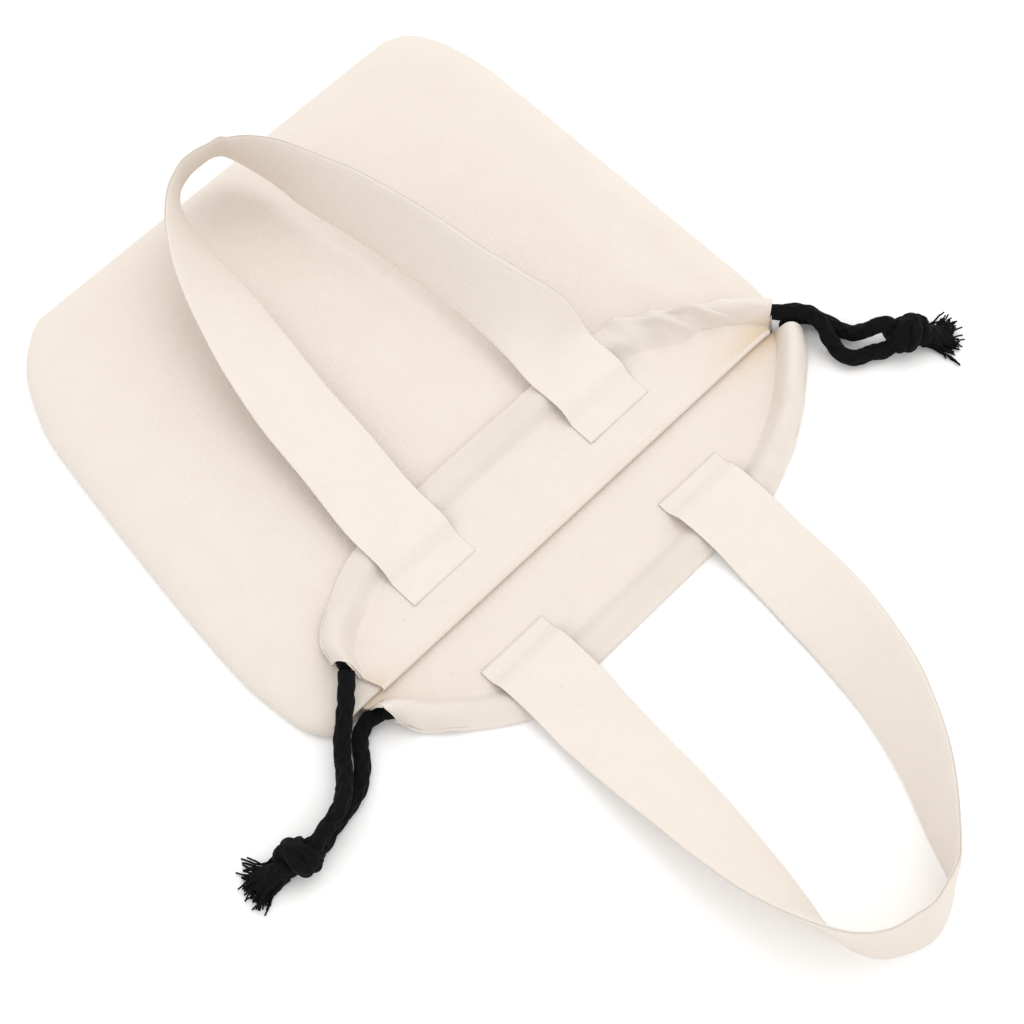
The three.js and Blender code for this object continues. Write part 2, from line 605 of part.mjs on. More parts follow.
addPiece("bag_body", toGeometry(pouch().add(frontRim()).add(backRim())), canvas);
for (const side of ["front", "back"]) {
  addPiece(`${side}_channel`, channel(side), hem);
  addPiece(`${side}_cord_held`, heldCord(side), blackCotton);
}
addPiece("front_strap", strap("front", frontStrapRows, FRONT_REACH), webbing);
addPiece("back_strap", strap("back", backStrapRows, BACK_REACH), webbing);
for (const [name, route] of Object.entries(cordRoutes)) {
  addPiece(name, cord(route), blackCotton);
}
for (const [name, end] of Object.entries(ends)) {
  addPiece(`${name}_knot`, knot(end), blackCotton);
  addPiece(`${name}_tassel`, tassel(end), blackCotton);
}

export default group;
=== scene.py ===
# %% [markdown]
# # A canvas drawstring bag
# The bag lies on its back on a pale floor. Its mouth is turned out into two rims, a black
# cord runs through the hem of each rim, and each rim carries a strap. The solid model gives
# the sizes and the places. This script adds what solids can't show: the weave, the soft
# gathers and the braid of the cords. X runs along the mouth, Y from the mouth towards the
# closed bottom, and Z up from the floor.

# %% Load the solids
import math

import bmesh
import bpy
import numpy as np
from mathutils import Matrix, Vector


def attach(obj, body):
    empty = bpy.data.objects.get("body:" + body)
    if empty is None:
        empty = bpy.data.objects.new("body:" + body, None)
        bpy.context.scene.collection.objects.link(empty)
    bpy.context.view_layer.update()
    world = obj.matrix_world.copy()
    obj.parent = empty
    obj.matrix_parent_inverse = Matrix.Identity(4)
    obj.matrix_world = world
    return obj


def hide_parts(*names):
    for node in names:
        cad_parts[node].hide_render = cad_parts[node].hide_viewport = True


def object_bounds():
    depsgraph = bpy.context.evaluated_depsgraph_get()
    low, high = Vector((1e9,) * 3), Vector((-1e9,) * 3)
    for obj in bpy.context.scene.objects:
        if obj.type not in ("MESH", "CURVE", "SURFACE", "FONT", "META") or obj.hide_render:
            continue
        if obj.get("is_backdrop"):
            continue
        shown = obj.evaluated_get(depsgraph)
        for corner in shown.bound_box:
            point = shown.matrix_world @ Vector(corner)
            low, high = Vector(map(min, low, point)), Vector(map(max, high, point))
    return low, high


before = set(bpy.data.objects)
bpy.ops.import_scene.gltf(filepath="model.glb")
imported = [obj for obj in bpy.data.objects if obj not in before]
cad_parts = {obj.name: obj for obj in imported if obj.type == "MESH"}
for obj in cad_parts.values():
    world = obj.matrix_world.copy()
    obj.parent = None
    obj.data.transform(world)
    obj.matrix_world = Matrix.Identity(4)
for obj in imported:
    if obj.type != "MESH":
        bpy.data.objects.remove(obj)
cad_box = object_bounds()
print("solids:", len(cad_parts), "box:", [round(x, 4) for corner in cad_box for x in corner])

# %% [markdown]
# ## Camera
# A camera is matched to a picture by its place, the way that it looks and its focal length.
# Here they come from the bag's own parallel edges: the lip, the bottom and the strap ends
# meet in vanishing points, and the straps give the scale. A long lens keeps the bag flat.

# %% Stand the camera
MM = 0.001
SENSOR_MM = 36
PICTURE_PIXELS = 1024


def stand_camera(place, forward, up, focal):
    look = Vector(forward).normalized()
    right = look.cross(Vector(up)).normalized()
    turn = Matrix((right, right.cross(look), -look)).transposed()
    data = bpy.data.cameras.new("camera")
    data.sensor_width = SENSOR_MM
    data.lens = SENSOR_MM * focal / PICTURE_PIXELS
    data.clip_end = 20
    camera = bpy.data.objects.new("camera", data)
    camera.matrix_world = Matrix.Translation(Vector(place) * MM) @ turn.to_4x4()
    bpy.context.scene.collection.objects.link(camera)
    bpy.context.scene.camera = camera


stand_camera(
    place=(-244.27, -318.56, 716.06),
    forward=(0.30075, 0.29691, -0.90631),
    up=(0.64495, 0.63673, 0.42262),
    focal=2200,
)
print("lens:", round(bpy.context.scene.camera.data.lens, 2), "mm")

# %% [markdown]
# ## Shader expressions
# A finish is worked out from a few fields over the surface: a sum of threads, a mask, a
# mottle. Wiring each sum by hand hides the idea, so one small class wraps a socket and lets
# Python's own operators add the Math nodes. Any other node comes from one method of the
# finish, which takes the kind of node, its settings and what goes into its sockets.

# %% A socket that takes part in sums
class Field:
    def __init__(self, finish, socket):
        self.finish = finish
        self.socket = socket

    def math(self, operation, *others):
        values = dict(enumerate([self, *others]))
        return self.finish.node("ShaderNodeMath", {"operation": operation}, values)

    def __add__(self, other):
        return self.math("ADD", other)

    __radd__ = __add__

    def __mul__(self, other):
        return self.math("MULTIPLY", other)

    def __sub__(self, other):
        return self.math("SUBTRACT", other)

    def __rsub__(self, other):
        return (self * -1) + other

    def above(self, other):
        return self.math("GREATER_THAN", other)

    def wave(self, pitch):
        return (self * (2 * math.pi / pitch)).math("SINE")

    def clip(self):
        return self.math("MAXIMUM", 0).math("MINIMUM", 1)


# %% A finish and its one way to add a node
class Finish:
    def __init__(self, name):
        self.material = bpy.data.materials.new(name)
        self.material.use_nodes = True
        self.tree = self.material.node_tree
        self.tree.nodes.clear()

    def node(self, kind, settings=None, sockets=None, output=0):
        made = self.tree.nodes.new(kind)
        for key, value in (settings or {}).items():
            setattr(made, key, value)
        for key, value in (sockets or {}).items():
            if isinstance(value, Field):
                self.tree.links.new(value.socket, made.inputs[key])
            else:
                made.inputs[key].default_value = value
        return Field(self, made.outputs[output]) if made.outputs else None

    def mix(self, factor, first, second):
        return self.node(
            "ShaderNodeMix",
            {"data_type": "RGBA"},
            {0: factor, 6: first, 7: second},
            output=2,
        )

    def noise(self, place, scale, detail=2, stretch=(1, 1, 1)):
        spread = self.node(
            "ShaderNodeVectorMath", {"operation": "MULTIPLY"}, {0: place, 1: stretch}
        )
        return self.node(
            "ShaderNodeTexNoise", None, {"Vector": spread, "Scale": scale, "Detail": detail}
        )

    def surface(self, **sockets):
        named = {key.replace("_", " "): value for key, value in sockets.items()}
        shader = self.node("ShaderNodeBsdfPrincipled", None, named)
        self.node("ShaderNodeOutputMaterial", None, {"Surface": shader})
        return self.material


print("shader helpers ready")

# %% [markdown]
# ## Canvas
# The bag is unbleached plain-weave cotton: warp and weft pass over and under each other, one
# thread at a time. The sign of a product of two waves tells which thread is on top, and the
# thread's own roundness is a wave at half the pitch. Thicker threads run through it here and
# there, and a few specks of seed husk are left in. Each cloth piece carries a UV map in
# metres along its own threads, so the weave keeps its scale and runs with the cloth.
#
# The rims carry one more value at each point, for the cord and for painted shade. Above zero,
# the black cord shows greyly through the hem. Below zero it is painted shade: the rim is made
# warmer and darker along the lip line and in the deep folds at the lip's ends.

# %% Cream canvas and its variants
THREAD_PITCH = 0.00062
SPECK_SIZE = 0.035
SPECKS_LEFT_OUT = 0.82
SHOW_THROUGH_SHARE = 0.75
# Painted shade: the warm, darker tone given to the deep folds and the lip line.
PAINTED_WARM_SHADE = (0.6, 0.4, 0.2)
HUSK_BROWN = (0.36, 0.24, 0.13)
HUSK_SHARE = 0.2


def canvas_finish(name, light, dark, show_through=None):
    finish = Finish(name)
    place = finish.node("ShaderNodeUVMap", {"uv_map": "threads"})
    parts = finish.node("ShaderNodeSeparateXYZ", None, {0: place})
    across = Field(finish, parts.socket.node.outputs[1])
    over = parts.wave(2 * THREAD_PITCH) * across.wave(2 * THREAD_PITCH)
    warp = (parts + THREAD_PITCH / 2).wave(THREAD_PITCH) * 0.5 + 0.5
    weft = (across + THREAD_PITCH / 2).wave(THREAD_PITCH) * 0.5 + 0.5
    on_top = over.above(0)
    thread = warp * on_top + weft * (1 - on_top)
    warp_slub = finish.noise(place, 1, 2, (90, 1500, 1))
    weft_slub = finish.noise(place, 1, 2, (1500, 90, 1))
    slub = warp_slub * 0.5 + weft_slub * 0.5
    mottle = finish.noise(place, 55, 4)
    specks = finish.node(
        "ShaderNodeTexVoronoi", None, {"Vector": place, "Scale": 75, "Randomness": 1}
    )
    speck_colour = Field(finish, specks.socket.node.outputs[1])
    speck_kind = finish.node("ShaderNodeSeparateColor", None, {0: speck_colour})
    husk = (SPECK_SIZE - specks).above(0) * speck_kind.above(SPECKS_LEFT_OUT)
    tone = ((slub - 0.5) * 1.3 + (mottle - 0.5) * 0.9 + 0.5).clip()
    colour = finish.mix(tone, (*dark, 1), (*light, 1))
    if show_through:
        shade = finish.node("ShaderNodeAttribute", {"attribute_name": "cord_show_through_and_painted_shade"}, output=2)
        colour = finish.mix((shade * SHOW_THROUGH_SHARE).clip(), colour, (*show_through, 1))
        # Painted shade: below zero the colour is mixed towards the warm fold shade.
        colour = finish.mix((shade * -1).clip(), colour, (*PAINTED_WARM_SHADE, 1))
    colour = finish.mix(husk * HUSK_SHARE, colour, (*HUSK_BROWN, 1))
    height = thread * 0.5 + slub * 0.8
    bump = finish.node(
        "ShaderNodeBump", None, {"Strength": 0.35, "Distance": 0.00022, "Height": height}
    )
    return finish.surface(
        Base_Color=colour,
        Roughness=0.94 - slub * 0.08,
        Normal=bump,
        Sheen_Weight=0.15,
        Sheen_Roughness=0.6,
        Specular_IOR_Level=0.15,
    )


CANVAS_LIGHT = (0.752, 0.684, 0.625)
CANVAS_DARK = (0.708, 0.635, 0.568)
CANVAS_OVER_CORD = (0.64, 0.585, 0.535)
canvas = canvas_finish("canvas", CANVAS_LIGHT, CANVAS_DARK)
rim_canvas = canvas_finish("rim_canvas", CANVAS_LIGHT, CANVAS_DARK, CANVAS_OVER_CORD)
webbing = canvas_finish("webbing", (0.765, 0.7, 0.642), (0.722, 0.652, 0.585))
print("canvas thread pitch:", THREAD_PITCH * 1000, "mm")

# %% [markdown]
# ## Black cotton
# The cords are soft black cotton. Black cloth is never fully black: loose fibres catch the
# light at a flat angle, which a sheen stands for, and the yarns differ a little in tone.

# %% Black cord cotton
def black_cotton(name):
    finish = Finish(name)
    place = finish.node("ShaderNodeTexCoord", output="Object")
    fibre = finish.noise(place, 2600, 3)
    patch = finish.noise(place, 260, 2)
    tone = (fibre * 0.6 + patch * 0.6 - 0.1).clip()
    colour = finish.mix(tone, (0.001, 0.001, 0.0012, 1), (0.005, 0.005, 0.0058, 1))
    bump = finish.node(
        "ShaderNodeBump", None, {"Strength": 0.5, "Distance": 0.0003, "Height": fibre}
    )
    return finish.surface(
        Base_Color=colour,
        Roughness=0.82 + fibre * 0.12,
        Normal=bump,
        Sheen_Weight=0.02,
        Sheen_Roughness=0.5,
        Specular_IOR_Level=0.12,
    )


black = black_cotton("black_cotton")
print("finishes:", [m.name for m in bpy.data.materials][:8])

# %% [markdown]
# ## The bag's measures
# The measures are those of the solids, in millimetres, but for the braid, which is as thick
# as the real cord looks. Outlines, free edges and strap runs are short tables with named
# columns, and a smooth curve reads between their rows, so the cloth gets as many points as
# it needs from few numbers. A table's "at" goes from 0 to 1, from lip to bottom for the
# outline and from left to right for the rims.

# %% Sizes in millimetres
MOUTH_WIDTH = 246
BODY_LENGTH = 198
LIP_Y = -101.5
CLOTH = 1.2
MOUTH_CLEAR = 5.4
BODY_CLEAR = 8
EDGE_ROLL = 15
RIM = 44
LIP_LEFT = -88
LIP_RIGHT = 110
LIP_CLEAR = 0.6
LIP_RAMP = 24
LIP_DRAWN = 9
LIP_DRAWN_SHARE = 0.025
UNDER_PANEL = 0.7
FOLD_HEIGHT = 1.9
FLOOR_CLEAR = 0.05
GATHER = 3.6
CHANNEL_WIDTH = 13
CHANNEL_THROAT = 10.4
HEM = 1
STRAP_WIDTH = 30
STRAP_THICKNESS = 2
SEWN = 0.6
SUNK = 0.25
OVER_HEM = 0.9
STRAP_SPACING = 89
REACH = {"front": 194, "back": 190.5}
CORD = 6.8
BRAID = 6
CORD_FLAT = 1.3
GAP = 0.3
HALF = MOUTH_WIDTH / 2
SEAM = 2 * CLOTH
LIP_LENGTH = LIP_RIGHT - LIP_LEFT

# %% Tables of the pouch and its rims
OUTLINE = dict(
    at=[0, 0.04, 0.1, 0.18, 0.33, 0.5, 0.7, 0.8, 0.88, 0.94, 0.98, 1],
    left=[0.9, 0.94, 0.957, 0.966, 0.95, 0.92, 0.878, 0.85, 0.8, 0.742, 0.67, 0.62],
    right=[0.925, 0.98, 1, 1.002, 1.002, 1.002, 1.002, 1, 0.982, 0.95, 0.905, 0.845],
    crown=[0, 0.02, 0.05, 0.08, 0.4, 0.9, 1, 0.85, 0.6, 0.3, 0.1, 0],
)
FREE_EDGE = {
    "front": dict(
        at=[0, 0.05, 0.1, 0.16, 0.22, 0.3, 0.6, 0.72, 0.8, 0.87, 0.93, 0.97, 1],
        across=[
            -0.765, -0.74, -0.65, -0.537, -0.423, -0.252, 0.26, 0.455, 0.577, 0.7, 0.809,
            0.886, 0.963,
        ],
        reach=[
            0.375, 0.584, 0.761, 0.916, 0.98, 0.989, 0.989, 0.975, 0.915, 0.7, 0.49,
            0.33, 0.148,
        ],
    ),
    "back": dict(
        at=[0, 0.04, 0.09, 0.15, 0.21, 0.3, 0.6, 0.74, 0.81, 0.87, 0.93, 0.97, 1],
        across=[
            -0.745, -0.72, -0.655, -0.545, -0.44, -0.244, 0.252, 0.504, 0.626, 0.732, 0.846,
            0.93, 0.975,
        ],
        reach=[
            0.26, 0.4, 0.58, 0.82, 0.973, 0.993, 0.995, 0.998, 0.889, 0.75, 0.534, 0.348,
            0.2,
        ],
    ),
}
GATHERS = {
    "front": dict(
        at=[0.02, 0.075, 0.8, 0.85, 0.9, 0.945],
        breadth=[0.018, 0.02, 0.016, 0.014, 0.014, 0.012],
        height=[0.5, 0.45, 0.7, 1, 0.8, 0.5],
        lean=[0.04, 0.03, -0.02, -0.03, -0.03, -0.02],
    ),
    "back": dict(
        at=[0.03, 0.09, 0.83, 0.91],
        breadth=[0.02, 0.02, 0.02, 0.018],
        height=[0.4, 0.5, 0.5, 0.6],
        lean=[0.03, 0.02, -0.02, -0.02],
    ),
}
HEM_DRAWN = {
    "front": dict(
        at=[0, 0.12, 0.7, 0.8, 0.85, 0.9, 1],
        width=[0.95, 1, 1, 1.25, 1.35, 0.9, 0.82],
    ),
    "back": dict(at=[0, 0.5, 1], width=[1, 1, 1]),
}
CHANNEL_BORE = dict(
    at=[0, 0.06, 0.14, 0.2, 0.72, 0.8, 0.88, 1],
    round=[1, 0.75, 0.15, 0, 0, 0.3, 0.7, 1],
)
print("rows:", {"outline": len(OUTLINE["at"]), "front edge": len(FREE_EDGE["front"]["at"])})


# %% Read a table smoothly
def read(table, column, at):
    x = np.array(table["at"], float)
    y = np.array(table[column], float)
    last = len(x) - 1
    before = np.maximum(np.arange(last + 1) - 1, 0)
    after = np.minimum(np.arange(last + 1) + 1, last)
    slope = (y[after] - y[before]) / (x[after] - x[before])
    at = np.clip(at, x[0], x[-1])
    k = np.clip(np.searchsorted(x, at) - 1, 0, last - 1)
    span = x[k + 1] - x[k]
    t = (at - x[k]) / span
    ease = t * t * (3 - 2 * t)
    bend = span * t * (1 - t) * (slope[k] * (1 - t) - slope[k + 1] * t)
    return y[k] + (y[k + 1] - y[k]) * ease + bend


print("half width of the mouth, left:", round(HALF * float(read(OUTLINE, "left", 0.0)), 1), "mm")

# %% [markdown]
# ## Cloth as a sheet with two faces
# Cloth is thin but not flat: in the render its edges show. A sheet is built on a grid of
# points through its middle. Each point is pushed out along the surface's normal to both
# sides by half the cloth, and the border is closed, so the sheet is a real solid.

# %% Spacing of points
def crowded(count, share):
    """From 0 to 1, with the steps closer together towards both ends."""
    even = np.linspace(0, 1, count)
    return (1 - share) * even + share * (0.5 - 0.5 * np.cos(np.pi * even))


def distance_run(line):
    steps = np.linalg.norm(np.diff(line, axis=0), axis=1)
    return np.concatenate([[0], np.cumsum(steps)])


# %% Meshes from grids of points
def new_piece(name, points, faces, finish, threads=None, shade=None):
    mesh = bpy.data.meshes.new(name)
    mesh.from_pydata((np.asarray(points) * MM).tolist(), [], faces)
    corners = np.empty(len(mesh.loops), int)
    mesh.loops.foreach_get("vertex_index", corners)
    if threads is not None:
        layer = mesh.uv_layers.new(name="threads")
        layer.data.foreach_set("uv", (np.asarray(threads) * MM)[corners].ravel())
    if shade is not None:
        mesh.attributes.new("cord_show_through_and_painted_shade", "FLOAT", "POINT").data.foreach_set("value", shade)
    mesh.shade_smooth()
    mesh.materials.append(finish)
    piece = bpy.data.objects.new(name, mesh)
    bpy.context.scene.collection.objects.link(piece)
    return piece


def grid_faces(rows, columns, start=0, flip=False, wrap=False):
    faces = []
    steps = columns if wrap else columns - 1
    for r in range(rows - 1):
        for c in range(steps):
            a = start + r * columns + c
            b = start + r * columns + (c + 1) % columns
            quad = (a, b, b + columns, a + columns)
            faces.append(quad[::-1] if flip else quad)
    return faces


def normals(grid):
    along = np.gradient(grid, axis=0)
    across = np.gradient(grid, axis=1)
    made = np.cross(along, across)
    return made / np.maximum(np.linalg.norm(made, axis=2, keepdims=True), 1e-9)


def sheet(name, grid, thickness, finish, threads, shade=None):
    rows, columns = grid.shape[:2]
    half = np.asarray(thickness, float)
    half = half[..., None] / 2 if half.ndim else half / 2
    push = normals(grid) * half
    points = np.concatenate([(grid + push).reshape(-1, 3), (grid - push).reshape(-1, 3)])
    points[:, 2] = np.maximum(points[:, 2], FLOOR_CLEAR)
    count = rows * columns
    faces = grid_faces(rows, columns, flip=True) + grid_faces(rows, columns, count)
    border = list(range(columns))
    border += [r * columns + columns - 1 for r in range(1, rows)]
    border += [(rows - 1) * columns + c for c in range(columns - 2, -1, -1)]
    border += [r * columns for r in range(rows - 2, 0, -1)]
    for a, b in zip(border, border[1:] + border[:1]):
        faces.append((b, a, a + count, b + count))
    flat = threads.reshape(-1, 2)
    shade = None if shade is None else np.tile(shade.ravel(), 2)
    piece = new_piece(name, points, faces, finish, np.concatenate([flat, flat]), shade)
    print(name, "faces:", len(faces))
    return piece


# %% [markdown]
# ## Heights over the floor
# Every cloth lies on something: the back panel on the floor, the front panel on the air in
# the pouch, the rims on the panels and the hems on the rims. One function for each layer
# gives its height at a place, so a layer that moves takes along all that lies on it.

# %% Heights of the pouch
def sides(at):
    return -HALF * read(OUTLINE, "left", at), HALF * read(OUTLINE, "right", at)


def round_rise(distance, reach):
    left = 1 - np.clip(distance / reach, 0, 1)
    return np.sqrt(1 - left * left)


def inward(x, y):
    left, right = sides((y - LIP_Y) / BODY_LENGTH)
    return np.minimum(x - left, right - x)


def panel_top(x, y):
    at = (y - LIP_Y) / BODY_LENGTH
    clear = MOUTH_CLEAR + (BODY_CLEAR - MOUTH_CLEAR) * read(OUTLINE, "crown", at)
    rise = round_rise(inward(x, y), EDGE_ROLL) * round_rise(BODY_LENGTH * (1 - at), EDGE_ROLL)
    return CLOTH + SEAM + (clear - CLOTH) * rise


def rim_point(side, at, out):
    way = 1 if side == "front" else -1
    edge = FREE_EDGE[side]
    lip_x = LIP_LEFT + LIP_LENGTH * at
    if side == "back":
        lip_x = lip_x - LIP_DRAWN * np.exp(-((np.asarray(at) / LIP_DRAWN_SHARE) ** 2))
    x = lip_x + (HALF * read(edge, "across", at) - lip_x) * out
    return x, LIP_Y + way * RIM * read(edge, "reach", at) * out


def rim_length(side, at):
    x0, y0 = rim_point(side, at, 0)
    x1, y1 = rim_point(side, at, 1)
    return np.hypot(x1 - x0, y1 - y0)


def ridges(table, at, leaning):
    """Rounded ridges and valleys side by side, each leaning over by its own share."""
    total = 0
    for k in range(len(table["at"])):
        gap = at - table["at"][k] - table["lean"][k] * leaning
        total = total + table["height"][k] * np.exp(-((gap / table["breadth"][k]) ** 2))
    return total


def gathers(side, at, out):
    return GATHER * ridges(GATHERS[side], at, 1 - out) * out * out


def lip_rise(at, out):
    """The back rim leaves the lip just under the front panel and ramps down to the floor."""
    x = LIP_LEFT + LIP_LENGTH * at
    lip_y = np.full_like(np.asarray(x, float), LIP_Y)
    under_panel = panel_top(x, lip_y) - CLOTH - UNDER_PANEL
    near = 1 - np.clip(out * rim_length("back", at) / LIP_RAMP, 0, 1)
    return np.maximum(under_panel - CLOTH, 0) * near * near * (3 - 2 * near)


def rim_top(side, at, out):
    x, y = rim_point(side, at, out)
    if side == "front":
        bed = panel_top(x, np.maximum(y, LIP_Y)) + LIP_CLEAR
    else:
        bed = lip_rise(at, out)
    return bed + CLOTH + gathers(side, at, out)


def channel_at(side, at):
    bore = np.clip(read(CHANNEL_BORE, "round", at), 0, 1)
    flat, full = CORD_FLAT + GAP + HEM, CORD + GAP + HEM
    length = rim_length(side, at)
    drawn = HEM_DRAWN[side]
    width = CHANNEL_WIDTH + (CHANNEL_THROAT - CHANNEL_WIDTH) * bore
    width = np.minimum(width * read(drawn, "width", at), length)
    return dict(
        bore=bore,
        width=width,
        start=np.maximum(1 - width / length, 0),
        height=GAP + flat + (full - flat) * bore,
    )


print("rim top in the middle:", round(float(rim_top("front", 0.5, 0.8)), 2), "mm")

# %% [markdown]
# ## Soft creases
# Cotton that was folded and handled keeps long soft creases and shallow dents. A crease is a
# rounded ridge, or with a negative height a valley, along a line from one place to another.
# A short table holds them, so each can be matched to what the light shows. Over all cloth
# goes a slow unevenness, a sum of a few long waves that run any way.

# %% Creases of the front panel
PANEL_CREASES = [
    dict(start=(-96, -58), end=(-70, 30), width=9, height=0.9),
    dict(start=(-104, -70), end=(-88, -20), width=4, height=0.7),
    dict(start=(-99, -62), end=(-97, 10), width=5, height=-0.6),
    dict(start=(70, -55), end=(52, 25), width=10, height=0.7),
    dict(start=(96, -74), end=(88, -10), width=7, height=0.6),
    dict(start=(104, -86), end=(108, -30), width=5, height=-0.5),
    dict(start=(-40, 60), end=(60, 78), width=16, height=0.6),
    dict(start=(20, -20), end=(85, 60), width=18, height=-0.6),
]


def creases(table, x, y):
    rise = np.zeros(np.broadcast(x, y).shape)
    for crease in table:
        start, end = np.array(crease["start"], float), np.array(crease["end"], float)
        run = end - start
        t = ((x - start[0]) * run[0] + (y - start[1]) * run[1]) / (run @ run)
        inside = np.clip(t, 0, 1)
        gap = np.hypot(x - start[0] - inside * run[0], y - start[1] - inside * run[1])
        fade = 0.25 + 0.75 * np.sin(np.pi * np.clip(0.1 + 0.8 * inside, 0, 1))
        rise += crease["height"] * fade * np.exp(-((gap / crease["width"]) ** 2))
    return rise


HAND_WAVES = 7


def hand(x, y, size, seed):
    """Slow unevenness of handled cloth, from -1 to 1."""
    rng = np.random.default_rng(seed)
    total = 0
    for _ in range(HAND_WAVES):
        angle, phase = rng.uniform(0, 2 * np.pi), rng.uniform(0, 2 * np.pi)
        length = size * rng.uniform(0.7, 1.6)
        along = x * np.cos(angle) + y * np.sin(angle)
        total = total + np.sin(along * 2 * np.pi / length + phase)
    return total / HAND_WAVES


# %% [markdown]
# ## Pouch
# The pouch is two panels sewn at the sides and the bottom, with the seams inside, so from
# outside each side is a soft rolled fold. It is one closed form: an outer skin of rings round
# the pouch, an inner skin a cloth's thickness in, and a band that joins them at the mouth.

# %% Build the pouch
def pouch_ring(y, at, inset):
    left, right = sides(at)
    x = left + inset + (right - left - 2 * inset) * crowded(150, 0.65)
    from_side = np.minimum(x - x[0], x[-1] - x)
    edge = round_rise(from_side, EDGE_ROLL - inset)
    end = round_rise(np.maximum(LIP_Y + BODY_LENGTH - inset - y, 0), EDGE_ROLL - inset)
    crown = SEAM + MOUTH_CLEAR + (BODY_CLEAR - MOUTH_CLEAR) * read(OUTLINE, "crown", at)
    relief = creases(PANEL_CREASES, x, np.full_like(x, y)) + 0.35 * hand(x, y, 70, 3)
    calm = np.clip((y - LIP_Y - 6) / 26, 0, 1)
    over_fold = crown - inset / 2 - FOLD_HEIGHT
    top = FOLD_HEIGHT + (over_fold + relief * calm) * edge * end
    rolled = 1 - round_rise(from_side, EDGE_ROLL / 2) * end
    under = inset / 2 + (FOLD_HEIGHT - inset / 2) * rolled
    upper = np.stack([x, np.full_like(x, y), top], 1)
    lower = np.stack([x, np.full_like(x, y), under], 1)
    return np.concatenate([upper, lower[-2:0:-1]])


def pouch_skin(inset):
    near_bottom = 1 - 0.15 * (1 - np.linspace(0, 1, 34)[1:]) ** 1.7
    rows = np.concatenate([np.linspace(0, 0.85, 95), near_bottom])
    length = BODY_LENGTH - inset
    return np.array([pouch_ring(LIP_Y + length * at, at, inset) for at in rows])


outer, inner = pouch_skin(0), pouch_skin(2 * CLOTH)
rows, around = outer.shape[:2]
count = rows * around
body_faces = grid_faces(rows, around, wrap=True)
body_faces += grid_faces(rows, around, count, flip=True, wrap=True)
for c in range(around):
    n = (c + 1) % around
    body_faces.append((n, c, c + count, n + count))
body_points = np.concatenate([outer.reshape(-1, 3), inner.reshape(-1, 3)])
pouch = new_piece("pouch", body_points, body_faces, canvas, body_points[:, :2])
print("pouch faces:", len(body_faces))

# %% Weld the closed bottom
def weld(piece, distance=1e-5):
    form = bmesh.new()
    form.from_mesh(piece.data)
    bmesh.ops.remove_doubles(form, verts=form.verts, dist=distance)
    form.to_mesh(piece.data)
    form.free()


weld(pouch)
print("pouch points:", len(pouch.data.vertices))

# %% [markdown]
# ## Rims with their hems
# Each rim is one strip of canvas. Seen in section it leaves the lip, lies flat, turns back
# at the free edge and comes down again on itself, which leaves a tunnel for the cord. The
# front rim also rolls over the lip. The section is a line of points at each place along the
# mouth, and the sheet helper gives it thickness, so the tunnel is open at both ends. Near
# its ends the cord draws the hem together, so there the fold is puckered, higher and
# narrower, and the cloth next to it is wrinkled too.

# %% Wrinkles where the cord draws the hem together
HEM_PUCKERS = {
    "front": dict(
        at=[0.01, 0.045, 0.085, 0.12, 0.735, 0.765, 0.8, 0.832, 0.865, 0.9],
        breadth=[0.014, 0.013, 0.014, 0.016, 0.013, 0.011, 0.012, 0.011, 0.012, 0.014],
        height=[0.9, -0.9, 1, -0.6, 0.9, -1.5, 1.9, -1.9, 1.9, -1.5],
        lean=[0.01, 0.02, 0.02, 0.03, 0.05, 0.06, 0.07, 0.07, 0.06, 0.05],
    ),
    "back": dict(
        at=[0.02, 0.06, 0.1, 0.145, 0.78, 0.82, 0.86, 0.9, 0.94],
        breadth=[0.014, 0.014, 0.016, 0.014, 0.014, 0.013, 0.014, 0.013, 0.012],
        height=[0.7, -0.7, 0.9, -0.5, 0.5, -0.6, 0.9, -0.8, 0.6],
        lean=[0.01, 0.02, 0.02, 0.02, -0.02, -0.02, -0.02, -0.02, -0.01],
    ),
}


def puckers(side, at, out):
    return ridges(HEM_PUCKERS[side], at, 3 * (1 - out))


# %% Section of a rim
EDGE_TURN = 1.3
EDGE_BULGE = 0.8
TUCK_LENGTH = 3
TUCK_DROP = 1.2


